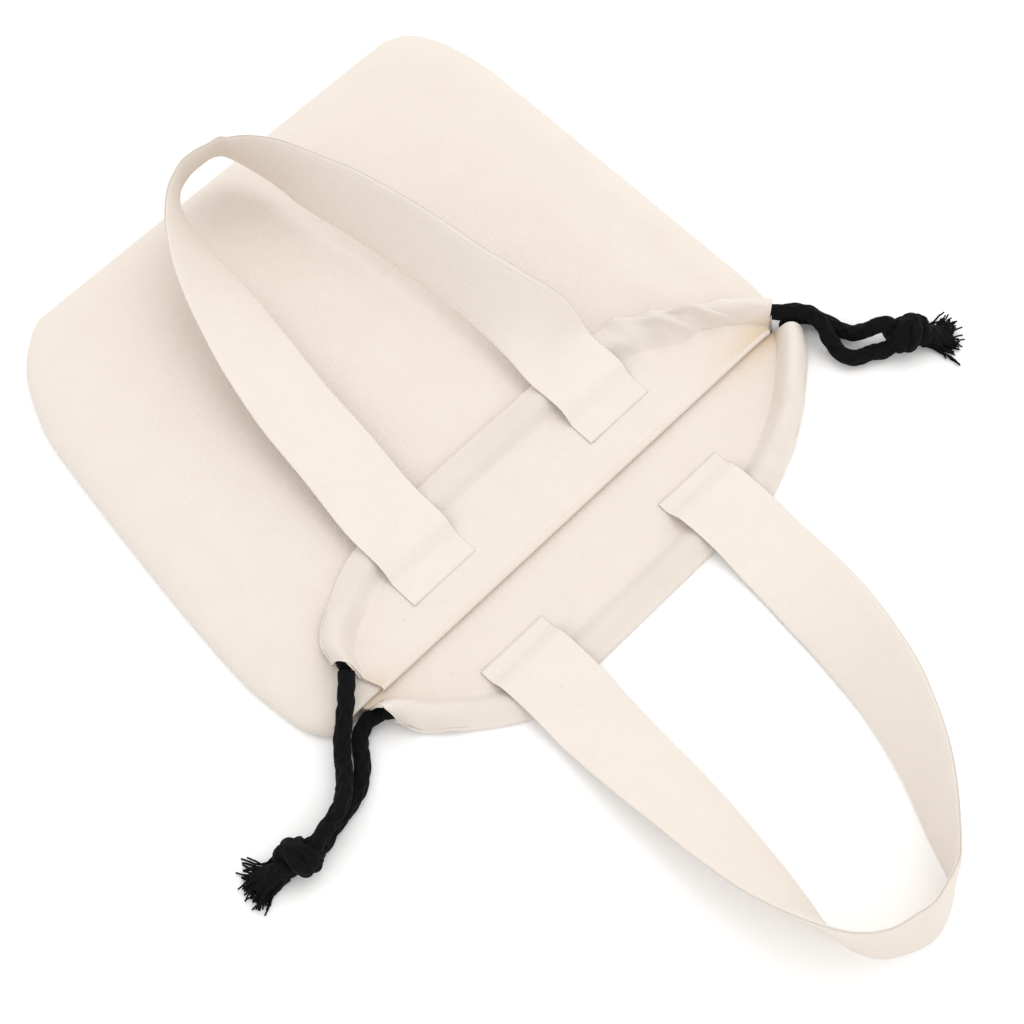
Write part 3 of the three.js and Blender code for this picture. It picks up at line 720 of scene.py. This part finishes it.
def rim_section(side, at):
    """Shares of the way out from the lip, and the heights there, of the strip's middle."""
    channel = channel_at(side, at)
    bore, start = channel["bore"], channel["start"]
    length = rim_length(side, at)
    flat = np.linspace(0, 1, 56) ** 0.9
    calm = np.clip((flat - 0.1) / 0.4, 0, 1)
    x, y = rim_point(side, at, flat)
    relief = 0.35 * puckers(side, at, flat) * flat ** 3 + 0.25 * hand(x, y, 45, 5) * calm
    base = rim_top(side, at, flat) - CLOTH / 2 + np.maximum(relief, -0.2)
    path = [np.stack([flat, base], 1)]
    turn = np.pi * np.linspace(0, 1, 7)[1:-1]
    edge = base[-1]
    bulge = 1 + EDGE_BULGE / length * np.sin(turn)
    path.append(np.stack([bulge, edge + EDGE_TURN / 2 * (1 - np.cos(turn))], 1))
    back = np.linspace(0, 1, 44)
    out = 1 - (1 - start) * back
    arch = np.sin(np.pi * back**0.9) ** (0.62 + 0.3 * back + 0.5 * (1 - bore))
    top = rim_top(side, at, out) + GAP + HEM / 2
    wrinkle = puckers(side, at, out)
    swell = np.maximum(1 + 0.12 * wrinkle, 0.96)
    rise = (channel["height"] - GAP - HEM / 2) * arch * swell
    drawn = np.clip(np.maximum((at - 0.7) / 0.05, (0.17 - at) / 0.05), 0, 1)
    landed = np.clip((back - 0.6) / 0.4, 0, 1)
    landed = (GAP + 0.75 * HEM) * landed**2 * (3 - 2 * landed)
    wrinkle = np.where(wrinkle > 0, 1.3 * wrinkle, 0.2 * wrinkle) * (1 - 0.5 * bore)
    fold = top + rise - landed + (wrinkle + 0.4) * arch**0.6 * drawn
    fold[0] = max(fold[0], edge + EDGE_TURN)
    path.append(np.stack([out, fold], 1))
    tuck = np.linspace(0, 1, 5)[1:]
    landing = start - tuck * TUCK_LENGTH / length
    path.append(np.stack([landing, fold[-1] - TUCK_DROP * tuck**2], 1))
    return np.concatenate(path)


# %% From the pouch to the rim
def lip_roll(side, at, x, rim_z):
    """Points before the rim: over the lip in front, and into the mouth at the back."""
    if side == "back":
        y = np.array([LIP_Y + SEAM, LIP_Y + CLOTH])
        return np.stack([np.full(2, x), y, np.full(2, rim_z)], 1)
    middle = rim_top(side, at, 0) - CLOTH - LIP_CLEAR / 2
    radius = LIP_CLEAR / 2 + CLOTH / 2
    turn = np.pi * (np.linspace(0, 1, 13)[:-1] - 0.5)
    y, z = LIP_Y - radius * np.cos(turn), middle + radius * np.sin(turn)
    return np.stack([np.full_like(turn, x), y, z], 1)


def cord_show_through_and_painted_shade(side, at, out, x, y):
    """Cord that shows through the hem, above 0, and painted warm shade at the lip, below 0."""
    channel = channel_at(side, at)
    over = np.clip((out - channel["start"]) / (1 - channel["start"]), 0, 1)
    uneven = 0.8 + 0.4 * hand(x, y, 26, 14)
    cord = np.sin(np.pi * over) ** 0.7 * uneven * (1 - 0.75 * channel["bore"])
    # Painted shade, below zero: a warm dark line along the lip, and warm shade in the folds near
    # the lip's ends.
    from_lip = np.abs(y - LIP_Y)
    line = np.exp(-((from_lip / 0.7) ** 2)) * (0.3 if side == "back" else 0.12)
    corner = np.exp(-((from_lip / 7) ** 2)) * np.exp(-((over / 0.4) ** 2))
    ends = 0.5 * np.exp(-(((1 - at) / 0.11) ** 2)) + 0.3 * np.exp(-((at / 0.03) ** 2))
    return cord - np.maximum(line, ends * corner)


# %% Build both rims
def rim_grid(side, shares):
    rings, shades = [], []
    for at in shares:
        path = rim_section(side, at)
        x, y = rim_point(side, at, path[:, 0])
        ring = np.stack([x, y, path[:, 1]], 1)
        roll = lip_roll(side, at, x[0], ring[0, 2])
        shade = cord_show_through_and_painted_shade(side, at, path[:, 0], x, y)
        rings.append(np.concatenate([roll, ring]))
        shades.append(np.concatenate([np.zeros(len(roll)), shade]))
    return np.array(rings), np.array(shades)


shares = np.concatenate([
    np.linspace(0, 0.2, 70)[:-1],
    np.linspace(0.2, 0.7, 60)[:-1],
    np.linspace(0.7, 1, 110),
])
rims = {}
for side in ("front", "back"):
    grid, shade = rim_grid(side, shares)
    step = np.linalg.norm(np.diff(grid, axis=1), axis=2)
    depth = np.concatenate([np.zeros((len(grid), 1)), np.cumsum(step, axis=1)], axis=1)
    along = np.broadcast_to((LIP_LENGTH * shares)[:, None], depth.shape)
    threads = np.stack([along, depth], 2)
    rims[side] = sheet(f"{side}_rim", grid, 1.0, rim_canvas, threads, shade)

# %% [markdown]
# ## Runs of cord and strap
# A strap and a cord both follow a smooth line through a few places. The line is resampled
# evenly, so the braid and the weave keep their scale in tight bends.

# %% A smooth line through a few places
def smooth_line(places, u):
    p = np.asarray(places, float)
    p = np.concatenate([[2 * p[0] - p[1]], p, [2 * p[-1] - p[-2]]])
    k = np.clip(u.astype(int), 0, len(p) - 4)
    t = (u - k)[:, None]
    p0, p1, p2, p3 = (p[k + i] for i in range(4))
    pairs = ((p0, p1), (p1, p2), (p2, p3))
    d0, d1, d2 = (np.sqrt(np.linalg.norm(b - a, axis=1))[:, None] for a, b in pairs)
    start = ((p1 - p0) / d0 - (p2 - p0) / (d0 + d1) + (p2 - p1) / d1) * d1
    end = ((p2 - p1) / d1 - (p3 - p1) / (d1 + d2) + (p3 - p2) / d2) * d1
    a, b = 2 * p1 - 2 * p2 + start + end, -3 * p1 + 3 * p2 - 2 * start - end
    return ((a * t + b) * t + start) * t + p1


def even_steps(places, step):
    """Even steps along the line: the row number at each, and the distance run."""
    u = np.linspace(0, len(places) - 1, 2400)
    run = distance_run(smooth_line(places, u))
    at = np.linspace(0, run[-1], max(int(run[-1] / step), 8) + 1)
    return np.interp(at, run, u), at


# %% [markdown]
# ## Braided cord
# A braided cord's yarns run round it both ways and cross in a diamond pattern. Modelled as
# loose yarns it would need many pieces, so one tube is made instead, whose surface swells
# where a yarn comes to the top. The pattern is a product of two waves that wind opposite
# ways, and it is real relief, because a cord's outline shows it.

# %% A tube with the relief of a braid
def frames(line):
    run = np.gradient(line, axis=0)
    run /= np.linalg.norm(run, axis=1, keepdims=True)
    side = np.cross(run, [0, 0, 1])
    side /= np.maximum(np.linalg.norm(side, axis=1, keepdims=True), 1e-6)
    return run, side, np.cross(side, run)


YARNS = 5
LAY_IN_RADII = 2.4
YARN_RELIEF = 0.13


def braid_relief(angle, run, radius, seed):
    rng = np.random.default_rng(seed)
    lay = 2 * math.pi / (radius * LAY_IN_RADII)
    left = np.sin(YARNS * angle + lay * run)
    right = np.sin(YARNS * angle - lay * run + 0.7)
    wobble = sum(
        np.sin(k * angle + run * rng.uniform(0.5, 1.6) + rng.uniform(0, 6.28)) for k in (1, 2, 3)
    )
    return radius * (YARN_RELIEF * np.maximum(left, right) - 0.1 + 0.02 * wobble)


def tube_points(line, distance, wide, high, seed, around=40):
    run, side, up = frames(line)
    angle = np.linspace(0, 2 * np.pi, around, endpoint=False)[None, :]
    wide, high = (np.broadcast_to(v, len(line))[:, None] for v in (wide, high))
    relief = braid_relief(angle, distance[:, None], np.minimum(wide, high), seed)
    w, h = (wide + relief) * np.cos(angle), (high + relief) * np.sin(angle)
    return line[:, None, :] + side[:, None, :] * w[..., None] + up[:, None, :] * h[..., None]


def tube_piece(name, parts, finish):
    """One piece from several closed tubes, each given as rings of points."""
    points, faces, start = [], [], 0
    for rings in parts:
        rows, around = rings.shape[:2]
        points.append(rings.reshape(-1, 3))
        faces += grid_faces(rows, around, start, wrap=True)
        faces.append(tuple(range(start + around - 1, start - 1, -1)))
        end = start + (rows - 1) * around
        faces.append(tuple(range(end, end + around)))
        start += rows * around
    points = np.concatenate(points)
    piece = new_piece(name, points, faces, finish)
    print(name, "faces:", len(faces))
    return piece


# %% Routes of the free strands, in metres as in the solids
ROUTES = {
    "cord_right_front": [
        (0.1147, -0.0988, 0.0114), (0.1178, -0.1022, 0.012), (0.1214, -0.1052, 0.012),
        (0.1242, -0.1094, 0.0114), (0.1246, -0.1146, 0.0104), (0.1236, -0.1197, 0.0076),
        (0.1232, -0.1246, 0.0048), (0.1244, -0.1294, 0.0036), (0.1278, -0.1323, 0.0035),
        (0.132, -0.1342, 0.0035), (0.1366, -0.1374, 0.0042),
    ],
    "cord_right_back": [
        (0.11625, -0.10665, 0.0049), (0.1184, -0.1043, 0.0047), (0.1216, -0.1036, 0.0041),
        (0.1252, -0.1052, 0.0036), (0.1282, -0.109, 0.0035), (0.1299, -0.1138, 0.0035),
        (0.1308, -0.1184, 0.0035), (0.1322, -0.123, 0.0042), (0.1344, -0.1268, 0.0072),
        (0.1373, -0.1294, 0.0104), (0.1408, -0.1319, 0.0112),
    ],
    "cord_left_front": [
        (-0.0936, -0.0906, 0.0134), (-0.0969, -0.0939, 0.0134), (-0.1005, -0.0975, 0.0128),
        (-0.1044, -0.1008, 0.0118), (-0.1081, -0.1038, 0.0102), (-0.1117, -0.1068, 0.0082),
        (-0.1149, -0.1106, 0.007), (-0.1184, -0.1151, 0.0082), (-0.1224, -0.1193, 0.0099),
        (-0.1259, -0.1221, 0.0107), (-0.1297, -0.1237, 0.0108), (-0.1344, -0.1248, 0.0108),
        (-0.1398, -0.1261, 0.0113),
    ],
    "cord_left_back": [
        (-0.0908, -0.1072, 0.0049), (-0.0952, -0.1062, 0.0043), (-0.0996, -0.1057, 0.0037),
        (-0.1038, -0.1072, 0.0035), (-0.107, -0.1104, 0.0035), (-0.109, -0.1134, 0.0035),
        (-0.1127, -0.1172, 0.0035), (-0.1169, -0.1205, 0.0035), (-0.1216, -0.1222, 0.0035),
        (-0.1264, -0.1233, 0.0035), (-0.1319, -0.1242, 0.0035), (-0.14, -0.1264, 0.004),
    ],
}
ENDS = {
    "right": dict(knot=(145, -139.2, 7.9), heading=-40),
    "left": dict(knot=(-148.4, -125, 7.9), heading=165),
}
BRAID_STEP = 0.42
strands = {}
for name, route in ROUTES.items():
    places = np.array(route) / MM
    u, distance = even_steps(places, BRAID_STEP)
    line = smooth_line(places, u)
    rings = tube_points(line, distance, BRAID / 2, BRAID / 2, seed=len(strands))
    piece = tube_piece(name + "_braid", [rings], black)
    strands[name] = dict(piece=piece, line=line, length=distance[-1])
print("strand lengths, mm:", {n: round(s["length"], 1) for n, s in strands.items()})

# %% Cord inside the hems
HELD_SHARE = 0.42

for side in ("front", "back"):
    at = np.linspace(0, 1, 420)
    channel = channel_at(side, at)
    middle = (channel["start"] + 1) / 2
    x, y = rim_point(side, at, middle)
    flattened = CORD * (1.3 - 0.3 * channel["bore"])
    high = HELD_SHARE * (CORD_FLAT + (CORD - CORD_FLAT) * channel["bore"])
    wide = HELD_SHARE * np.minimum(channel["width"] - 2 * HEM - 2 * GAP, flattened)
    line = np.stack([x, y, rim_top(side, at, middle) + GAP + high], 1)
    rings = tube_points(line, distance_run(line), wide, high, seed=11, around=32)
    held = tube_piece(f"{side}_cord_in_hem", [rings], black)
    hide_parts(f"{side}_cord_held")
    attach(held, "root")

# %% [markdown]
# ## Knots and frayed ends
# Each pair of strands is tied in one overhand knot. A tight overhand knot shows as turns that
# cross a core, so it is made of braided tubes: a core, two turns round it, a strand that
# crosses on top, and the ends of the two strands that come in. Past the knot the braid is
# undone into its threads, which are modelled one by one, because their loose tips make the
# outline.

# %% Knots
CROSSING = [(-6, -3, -1), (-4, -2.2, 3), (0, 1.2, 4.9), (4, 3.6, 3), (6.4, 2.6, -1)]
KNOT_TURNS = 2.15
KNOT_RADIUS = 5


def local_frame(end):
    turn = math.radians(end["heading"])
    run = np.array([math.cos(turn), math.sin(turn), 0])
    return np.array(end["knot"], float), run, np.array([-run[1], run[0], 0]), np.array([0, 0, 1.0])


def knot_piece(name, end, flip, entering):
    middle, run, side, up = local_frame(end)
    side = side * flip

    def placed(points):
        p = np.asarray(points, float)
        return middle + p[:, :1] * run + p[:, 1:2] * side + p[:, 2:] * up

    core = [(x, 0.6 * math.sin(x), -0.6) for x in np.linspace(-7.2, 7.6, 40)]
    turns = np.linspace(0, 2 * np.pi * KNOT_TURNS, 190)
    t = turns / turns[-1]
    radius = KNOT_RADIUS * np.sin(np.pi * np.clip(0.16 + 0.68 * t, 0, 1)) ** 0.5
    along = -3.6 + 7.2 * t + 1.9 * np.sin(turns + 0.6)
    wrap = np.stack([along, radius * np.cos(turns), 0.93 * radius * np.sin(turns)], 1)
    cross = smooth_line(CROSSING, np.linspace(0, len(CROSSING) - 1, 70))
    paths = [(placed(core), 4.4, 3.3), (placed(wrap), 2.75, 2.65), (placed(cross), 2.5, 2.3)]
    for k, line in enumerate(entering):
        inside = middle + side * (1.6 if k else -1.6)
        places = [line[-14], line[-1], inside - run * 3, inside + run]
        enter = smooth_line(places, np.linspace(0, len(places) - 1, 60))
        paths.append((enter, BRAID / 2, BRAID / 2))
    parts = [
        tube_points(line, distance_run(line), wide, high, seed=20 + k)
        for k, (line, wide, high) in enumerate(paths)
    ]
    return tube_piece(name, parts, black)


knots = {}
for name, end in ENDS.items():
    entering = [strand["line"] for key, strand in strands.items() if name in key]
    knots[name] = knot_piece(f"{name}_overhand", end, -1 if name == "left" else 1, entering)


# %% Frayed threads
THREADS = 170
THREAD_STEPS = 8
THREAD_FLOOR = 0.6
ROOT_RADIUS = 0.52
TIP_RADIUS = 0.32
TASSEL_CORE = [(5, 0), (9, -1.8), (13, -3.6), (17, -5)]
CORE_FLOOR = 2.2


def thread_line(rng, locks, middle, run, side):
    """One thread: it fans out with its lock, sinks towards the floor and curls a little."""
    a, b = rng.normal(0, 1.5, 2)
    lock = locks[rng.integers(len(locks))] * rng.uniform(0.7, 1.1)
    lean = math.radians(lock + rng.normal(0, 4))
    length = rng.uniform(9.5, 15) * (1.12 if rng.random() < 0.15 else 1)
    t = np.linspace(0, 1, THREAD_STEPS + 1)[:, None]
    bend = lean * t**0.7
    step = (run * np.cos(bend) + side * np.sin(bend)) * length / THREAD_STEPS
    line = middle + run * 6 + side * a * 1.15
    line = line + np.concatenate([[np.zeros(3)], np.cumsum(step[1:], axis=0)])
    height = 4.6 + 0.9 * b
    target = 0.35 + abs(rng.normal(0, 1.9))
    s = t[:, 0]
    sinking = height + (target - height) * s * (2 - s)
    line[:, 2] = sinking + 0.25 * np.sin(s * 9 + rng.uniform(0, 6))
    curl = rng.normal(0, 1.5)
    line += side * (curl * t**2) + side * 0.5 * np.sin(t * 12 + rng.uniform(0, 6)) * t
    line[:, 2] = np.maximum(line[:, 2], THREAD_FLOOR)
    return line


def tassel_piece(name, end, seed):
    middle, run, side, up = local_frame(end)
    rng = np.random.default_rng(seed)
    locks = rng.uniform(-44, 44, 15)
    angle = np.linspace(0, 2 * np.pi, 5, endpoint=False)
    cos, sin = np.cos(angle)[None, :, None], np.sin(angle)[None, :, None]
    radius = np.linspace(ROOT_RADIUS, TIP_RADIUS, THREAD_STEPS + 1)[:, None, None]
    parts = []
    for _ in range(THREADS):
        line = thread_line(rng, locks, middle, run, side)
        _, across, lift = frames(line)
        around = across[:, None, :] * cos + lift[:, None, :] * sin
        parts.append(line[:, None, :] + radius * around)
    places = [middle + run * along + up * rise for along, rise in TASSEL_CORE]
    core = smooth_line(places, np.linspace(0, len(places) - 1, 40))
    core[:, 2] = np.maximum(core[:, 2], CORE_FLOOR)
    wide, high = np.linspace(3.3, 4.6, 40), np.linspace(3.2, 1.7, 40)
    parts.append(tube_points(core, np.linspace(0, 12, 40), wide, high, seed=seed))
    return tube_piece(name, parts, black)


tassels = {
    "right": tassel_piece("right_threads", ENDS["right"], 5),
    "left": tassel_piece("left_threads", ENDS["left"], 9),
}

# %% Put the cords, knots and threads in place of the solids
for name, strand in strands.items():
    end = "right" if "right" in name else "left"
    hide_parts(name)
    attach(strand["piece"], "root")
    first = "front" in name
    tuple(strand["line"][0] * MM)
    strand["length"] * MM
    strand["line"] * MM
for end in ENDS:
    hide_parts(f"{end}_knot")
    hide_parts(f"{end}_tassel")
    for piece in (knots[end], tassels[end]):
        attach(piece, "root")

# %% [markdown]
# ## Straps
# Each strap is a webbing band. It is a ribbon whose inner edge follows its run, and whose
# outer edge rises as the loop turns over on its side, as a stiff cloth band does when it
# lies down. A simulation would let it fall flat, so the run is set from how the strap
# crosses the bag in the picture. Both ends are sewn down on the rim: there the band is
# pressed thin and sunk a little into the cloth. One edge of each sewn end is left loose and
# lifted.
#
# A row of the table says what the strap lies on, where it is as a share of half the spacing
# of its ends, how far it is from the lip as a share of the strap's reach, how high its inner
# edge is lifted in strap widths, and how many degrees the band is tilted up.

# %% Runs of the straps
STRAP_ROWS = {
    "front": [
        ("rim", -0.66, 0.067, 0, 0), ("rim", -0.66, 0.102, 0, 0), ("rim", -0.66, 0.117, 0.01, 0),
        ("channel", -0.65, 0.149, 0, 0), ("channel", -0.64, 0.232, 0, 0),
        ("panel", -0.58, 0.356, 0.14, 4), ("panel", -0.533, 0.485, 0.205, 9),
        ("panel", -0.453, 0.612, 0.24, 18), ("panel", -0.382, 0.724, 0.225, 32),
        ("panel", -0.341, 0.824, 0.195, 50), ("panel", -0.314, 0.904, 0.2, 69),
        ("panel", -0.272, 0.96, 0.255, 87), ("panel", -0.17, 0.988, 0.315, 101),
        ("panel", -0.018, 1.001, 0.348, 109), ("panel", 0.14, 1.003, 0.363, 113.5),
        ("panel", 0.257, 1, 0.368, 115), ("panel", 0.337, 0.988, 0.357, 112.5),
        ("panel", 0.384, 0.967, 0.328, 105.5), ("panel", 0.43, 0.934, 0.285, 97),
        ("panel", 0.476, 0.88, 0.245, 87), ("panel", 0.495, 0.805, 0.225, 76.5),
        ("panel", 0.576, 0.696, 0.22, 68), ("panel", 0.65, 0.563, 0.225, 64),
        ("panel", 0.688, 0.432, 0.215, 60), ("panel", 0.7, 0.335, 0.165, 46),
        ("panel", 0.685, 0.28, 0.15, 17), ("channel", 0.67, 0.232, 0, 0),
        ("channel", 0.67, 0.149, 0, 0), ("rim", 0.66, 0.117, 0.01, 0), ("rim", 0.66, 0.102, 0, 0),
        ("rim", 0.66, 0.067, 0, 0),
    ],
    "back": [
        ("rim", -0.64, 0.097, 0, 0), ("rim", -0.64, 0.12, 0.01, 0), ("channel", -0.64, 0.152, 0, 0),
        ("channel", -0.64, 0.238, 0, 0), ("floor", -0.65, 0.3, 0.05, 3),
        ("floor", -0.67, 0.38, 0.01, 10), ("floor", -0.69, 0.456, 0.02, 16),
        ("floor", -0.705, 0.532, 0.01, 22), ("floor", -0.735, 0.605, 0, 28),
        ("floor", -0.775, 0.674, 0, 36), ("floor", -0.825, 0.742, 0, 45),
        ("floor", -0.88, 0.8, 0, 56), ("floor", -0.93, 0.85, 0, 70), ("floor", -0.94, 0.902, 0, 84),
        ("floor", -0.85, 0.951, 0, 95), ("floor", -0.67, 0.982, 0, 101),
        ("floor", -0.43, 1, 0, 103), ("floor", -0.19, 0.985, 0, 101),
        ("floor", -0.04, 0.957, 0, 95), ("floor", 0.03, 0.921, 0, 87),
        ("floor", 0.11, 0.877, 0, 79), ("floor", 0.215, 0.828, 0, 72),
        ("floor", 0.325, 0.774, 0, 65), ("floor", 0.423, 0.714, 0, 58),
        ("floor", 0.507, 0.65, 0, 50), ("floor", 0.567, 0.58, 0, 42),
        ("floor", 0.614, 0.509, 0, 33), ("floor", 0.646, 0.436, 0, 21),
        ("floor", 0.68, 0.365, 0.01, 9), ("floor", 0.7, 0.3, 0.05, 2),
        ("channel", 0.71, 0.238, 0, 0), ("channel", 0.71, 0.152, 0, 0),
        ("rim", 0.71, 0.12, 0.01, 0), ("rim", 0.71, 0.097, 0, 0),
    ],
}


def strap_places(side):
    way = 1 if side == "front" else -1
    reach = REACH[side]
    places = []
    for on, across, along, lift, _ in STRAP_ROWS[side]:
        rim = float(rim_top(side, 0.5, min(along * reach / RIM, 1))) + SEWN / 2 - SUNK
        beds = dict(
            rim=rim,
            channel=rim + float(channel_at(side, 0.5)["height"]) + OVER_HEM,
            panel=float(panel_top(np.float64(0), LIP_Y + BODY_LENGTH * 0.6)) + STRAP_THICKNESS / 2,
            floor=STRAP_THICKNESS / 2 + GAP / 2,
        )
        x, y = STRAP_SPACING / 2 * across, LIP_Y + way * reach * along
        places.append((x, y, beds[on] + STRAP_WIDTH * lift))
    return places


# %% Build the straps
STRAP_STEP = 1.1
TILT_SMOOTHING = 17
RUN_BASE = 1.25  # rows to each side over which a strap's direction is taken
SEWN_END = 30
LOOSE_LIFT = 0.45
END_TAPER = 0.8


def strap_band(side):
    """Inner edge of a strap, the ways that its width and its face point, and the run."""
    places = strap_places(side)
    way = 1 if side == "front" else -1
    u, distance = even_steps(places, STRAP_STEP)
    inner = smooth_line(places, u)
    tilts = [tilt for *_, tilt in STRAP_ROWS[side]]
    tilt = np.radians(np.interp(u, np.arange(len(places)), tilts))
    kernel = np.hanning(TILT_SMOOTHING) / np.hanning(TILT_SMOOTHING).sum()
    tilt = np.convolve(np.pad(tilt, TILT_SMOOTHING // 2, mode="edge"), kernel, mode="valid")
    before = np.maximum(u - RUN_BASE, 0)
    after = np.minimum(u + RUN_BASE, len(places) - 1)
    run = smooth_line(places, after) - smooth_line(places, before)
    run /= np.linalg.norm(run, axis=1, keepdims=True)
    outward = np.stack([-run[:, 1], run[:, 0], 0 * run[:, 0]], 1) * way
    outward /= np.linalg.norm(outward, axis=1, keepdims=True)
    upward = np.cross(run, outward) * way
    upward /= np.linalg.norm(upward, axis=1, keepdims=True)
    wide = outward * np.cos(tilt)[:, None] + upward * np.sin(tilt)[:, None]
    face = np.cross(run, wide)
    face /= np.linalg.norm(face, axis=1, keepdims=True)
    return inner, wide, face, distance


def strap_piece(side):
    w = crowded(45, 0.6)
    inner, wide, face, distance = strap_band(side)
    from_end = np.minimum(distance, distance[-1] - distance)
    grid = inner[:, None, :] + wide[:, None, :] * (STRAP_WIDTH * w)[None, :, None]
    d, v = np.meshgrid(distance, STRAP_WIDTH * w, indexing="ij")
    free = np.clip(from_end / 60 - 0.7, 0, 1)[:, None]
    soft = (0.35 * hand(d, v, 60, 8) + 0.12 * hand(d, v, 17, 9)) * free
    first_half = (distance < distance[-1] / 2)[:, None]
    to_left = np.where(first_half, w[None, :], 1 - w[None, :])
    near_end = np.clip(1 - from_end / 40, 0, 1)[:, None]
    lifted = LOOSE_LIFT * to_left**6 * near_end**0.5
    grid = grid + face[:, None, :] * (soft + lifted * np.sign(face[:, None, 2]))[..., None]
    grid[..., 2] = np.maximum(grid[..., 2], STRAP_THICKNESS / 2 + 0.1)
    body = (1 - np.abs(2 * w - 1) ** 9) ** 0.5
    groove = sum(np.exp(-(((w - place) / 0.011) ** 2)) for place in (0.075, 0.925))
    across = np.maximum(body, 0.1) * (1 - 0.17 * groove)
    thick = SEWN + (STRAP_THICKNESS - SEWN) * np.clip(from_end / SEWN_END - 1, 0, 1)
    tapered = np.maximum(np.clip(from_end / END_TAPER, 0, 1), 0.35) ** 0.5
    thickness = across[None, :] * (thick * tapered)[:, None]
    return sheet(f"{side}_strap_band", grid, thickness, webbing, np.stack([d, v], 2))


straps = {side: strap_piece(side) for side in ("front", "back")}

# %% Ride and replace
for piece, node, slot in (
    (pouch, "bag_body", "canvas"),
    (rims["front"], "front_channel", "hem"),
    (rims["back"], "back_channel", "hem"),
    (straps["front"], "front_strap", "webbing"),
    (straps["back"], "back_strap", "webbing"),
):
    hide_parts(node)
    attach(piece, "root")

# %% [markdown]
# ## Floor and light
# Product pictures of pale cloth are lit by a big soft source and a bright white room, which
# leaves only faint shadows. One large area light stands on the +X side, where the picture's
# light comes from, and the world fills in the rest.

# %% Floor, lamp and world
def floor_finish():
    finish = Finish("paper_floor")
    place = finish.node("ShaderNodeTexCoord", output="Object")
    grain = finish.noise(place, 300, 2)
    colour = finish.mix(grain * 0.5, (0.96, 0.96, 0.96, 1), (0.94, 0.94, 0.94, 1))
    return finish.surface(Base_Color=colour, Roughness=0.9, Specular_IOR_Level=0.1)


FLOOR_HALF = 6000
corners = [(x * FLOOR_HALF, y * FLOOR_HALF, 0) for x, y in ((-1, -1), (1, -1), (1, 1), (-1, 1))]
floor = new_piece("floor", corners, [(0, 1, 2, 3)], floor_finish())
floor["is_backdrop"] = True


def area_light(name, place, target, size, power):
    data = bpy.data.lights.new(name, "AREA")
    data.shape = "DISK"
    data.size = size
    data.energy = power
    lamp = bpy.data.objects.new(name, data)
    lamp.location = Vector(place)
    lamp.rotation_euler = (Vector(target) - Vector(place)).to_track_quat("-Z", "Y").to_euler()
    bpy.context.scene.collection.objects.link(lamp)


area_light("soft_window", place=(0.8, 0.1, 2.0), target=(0, 0, 0), size=1.6, power=9)
world = bpy.data.worlds.new("white_room")
world.use_nodes = True
background = world.node_tree.nodes["Background"].inputs
background["Color"].default_value = (1, 0.992, 0.98, 1)
background["Strength"].default_value = 1.14
bpy.context.scene.world = world
bpy.context.scene.view_settings.view_transform = "Standard"

# %% Keep both boxes and finish
lowest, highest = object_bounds()
boxes = {"cad": [list(corner) for corner in cad_box], "visual": [list(lowest), list(highest)]}
print("sizes, mm:", {k: [round((b - a) * 1000, 1) for a, b in zip(*v)] for k, v in boxes.items()})
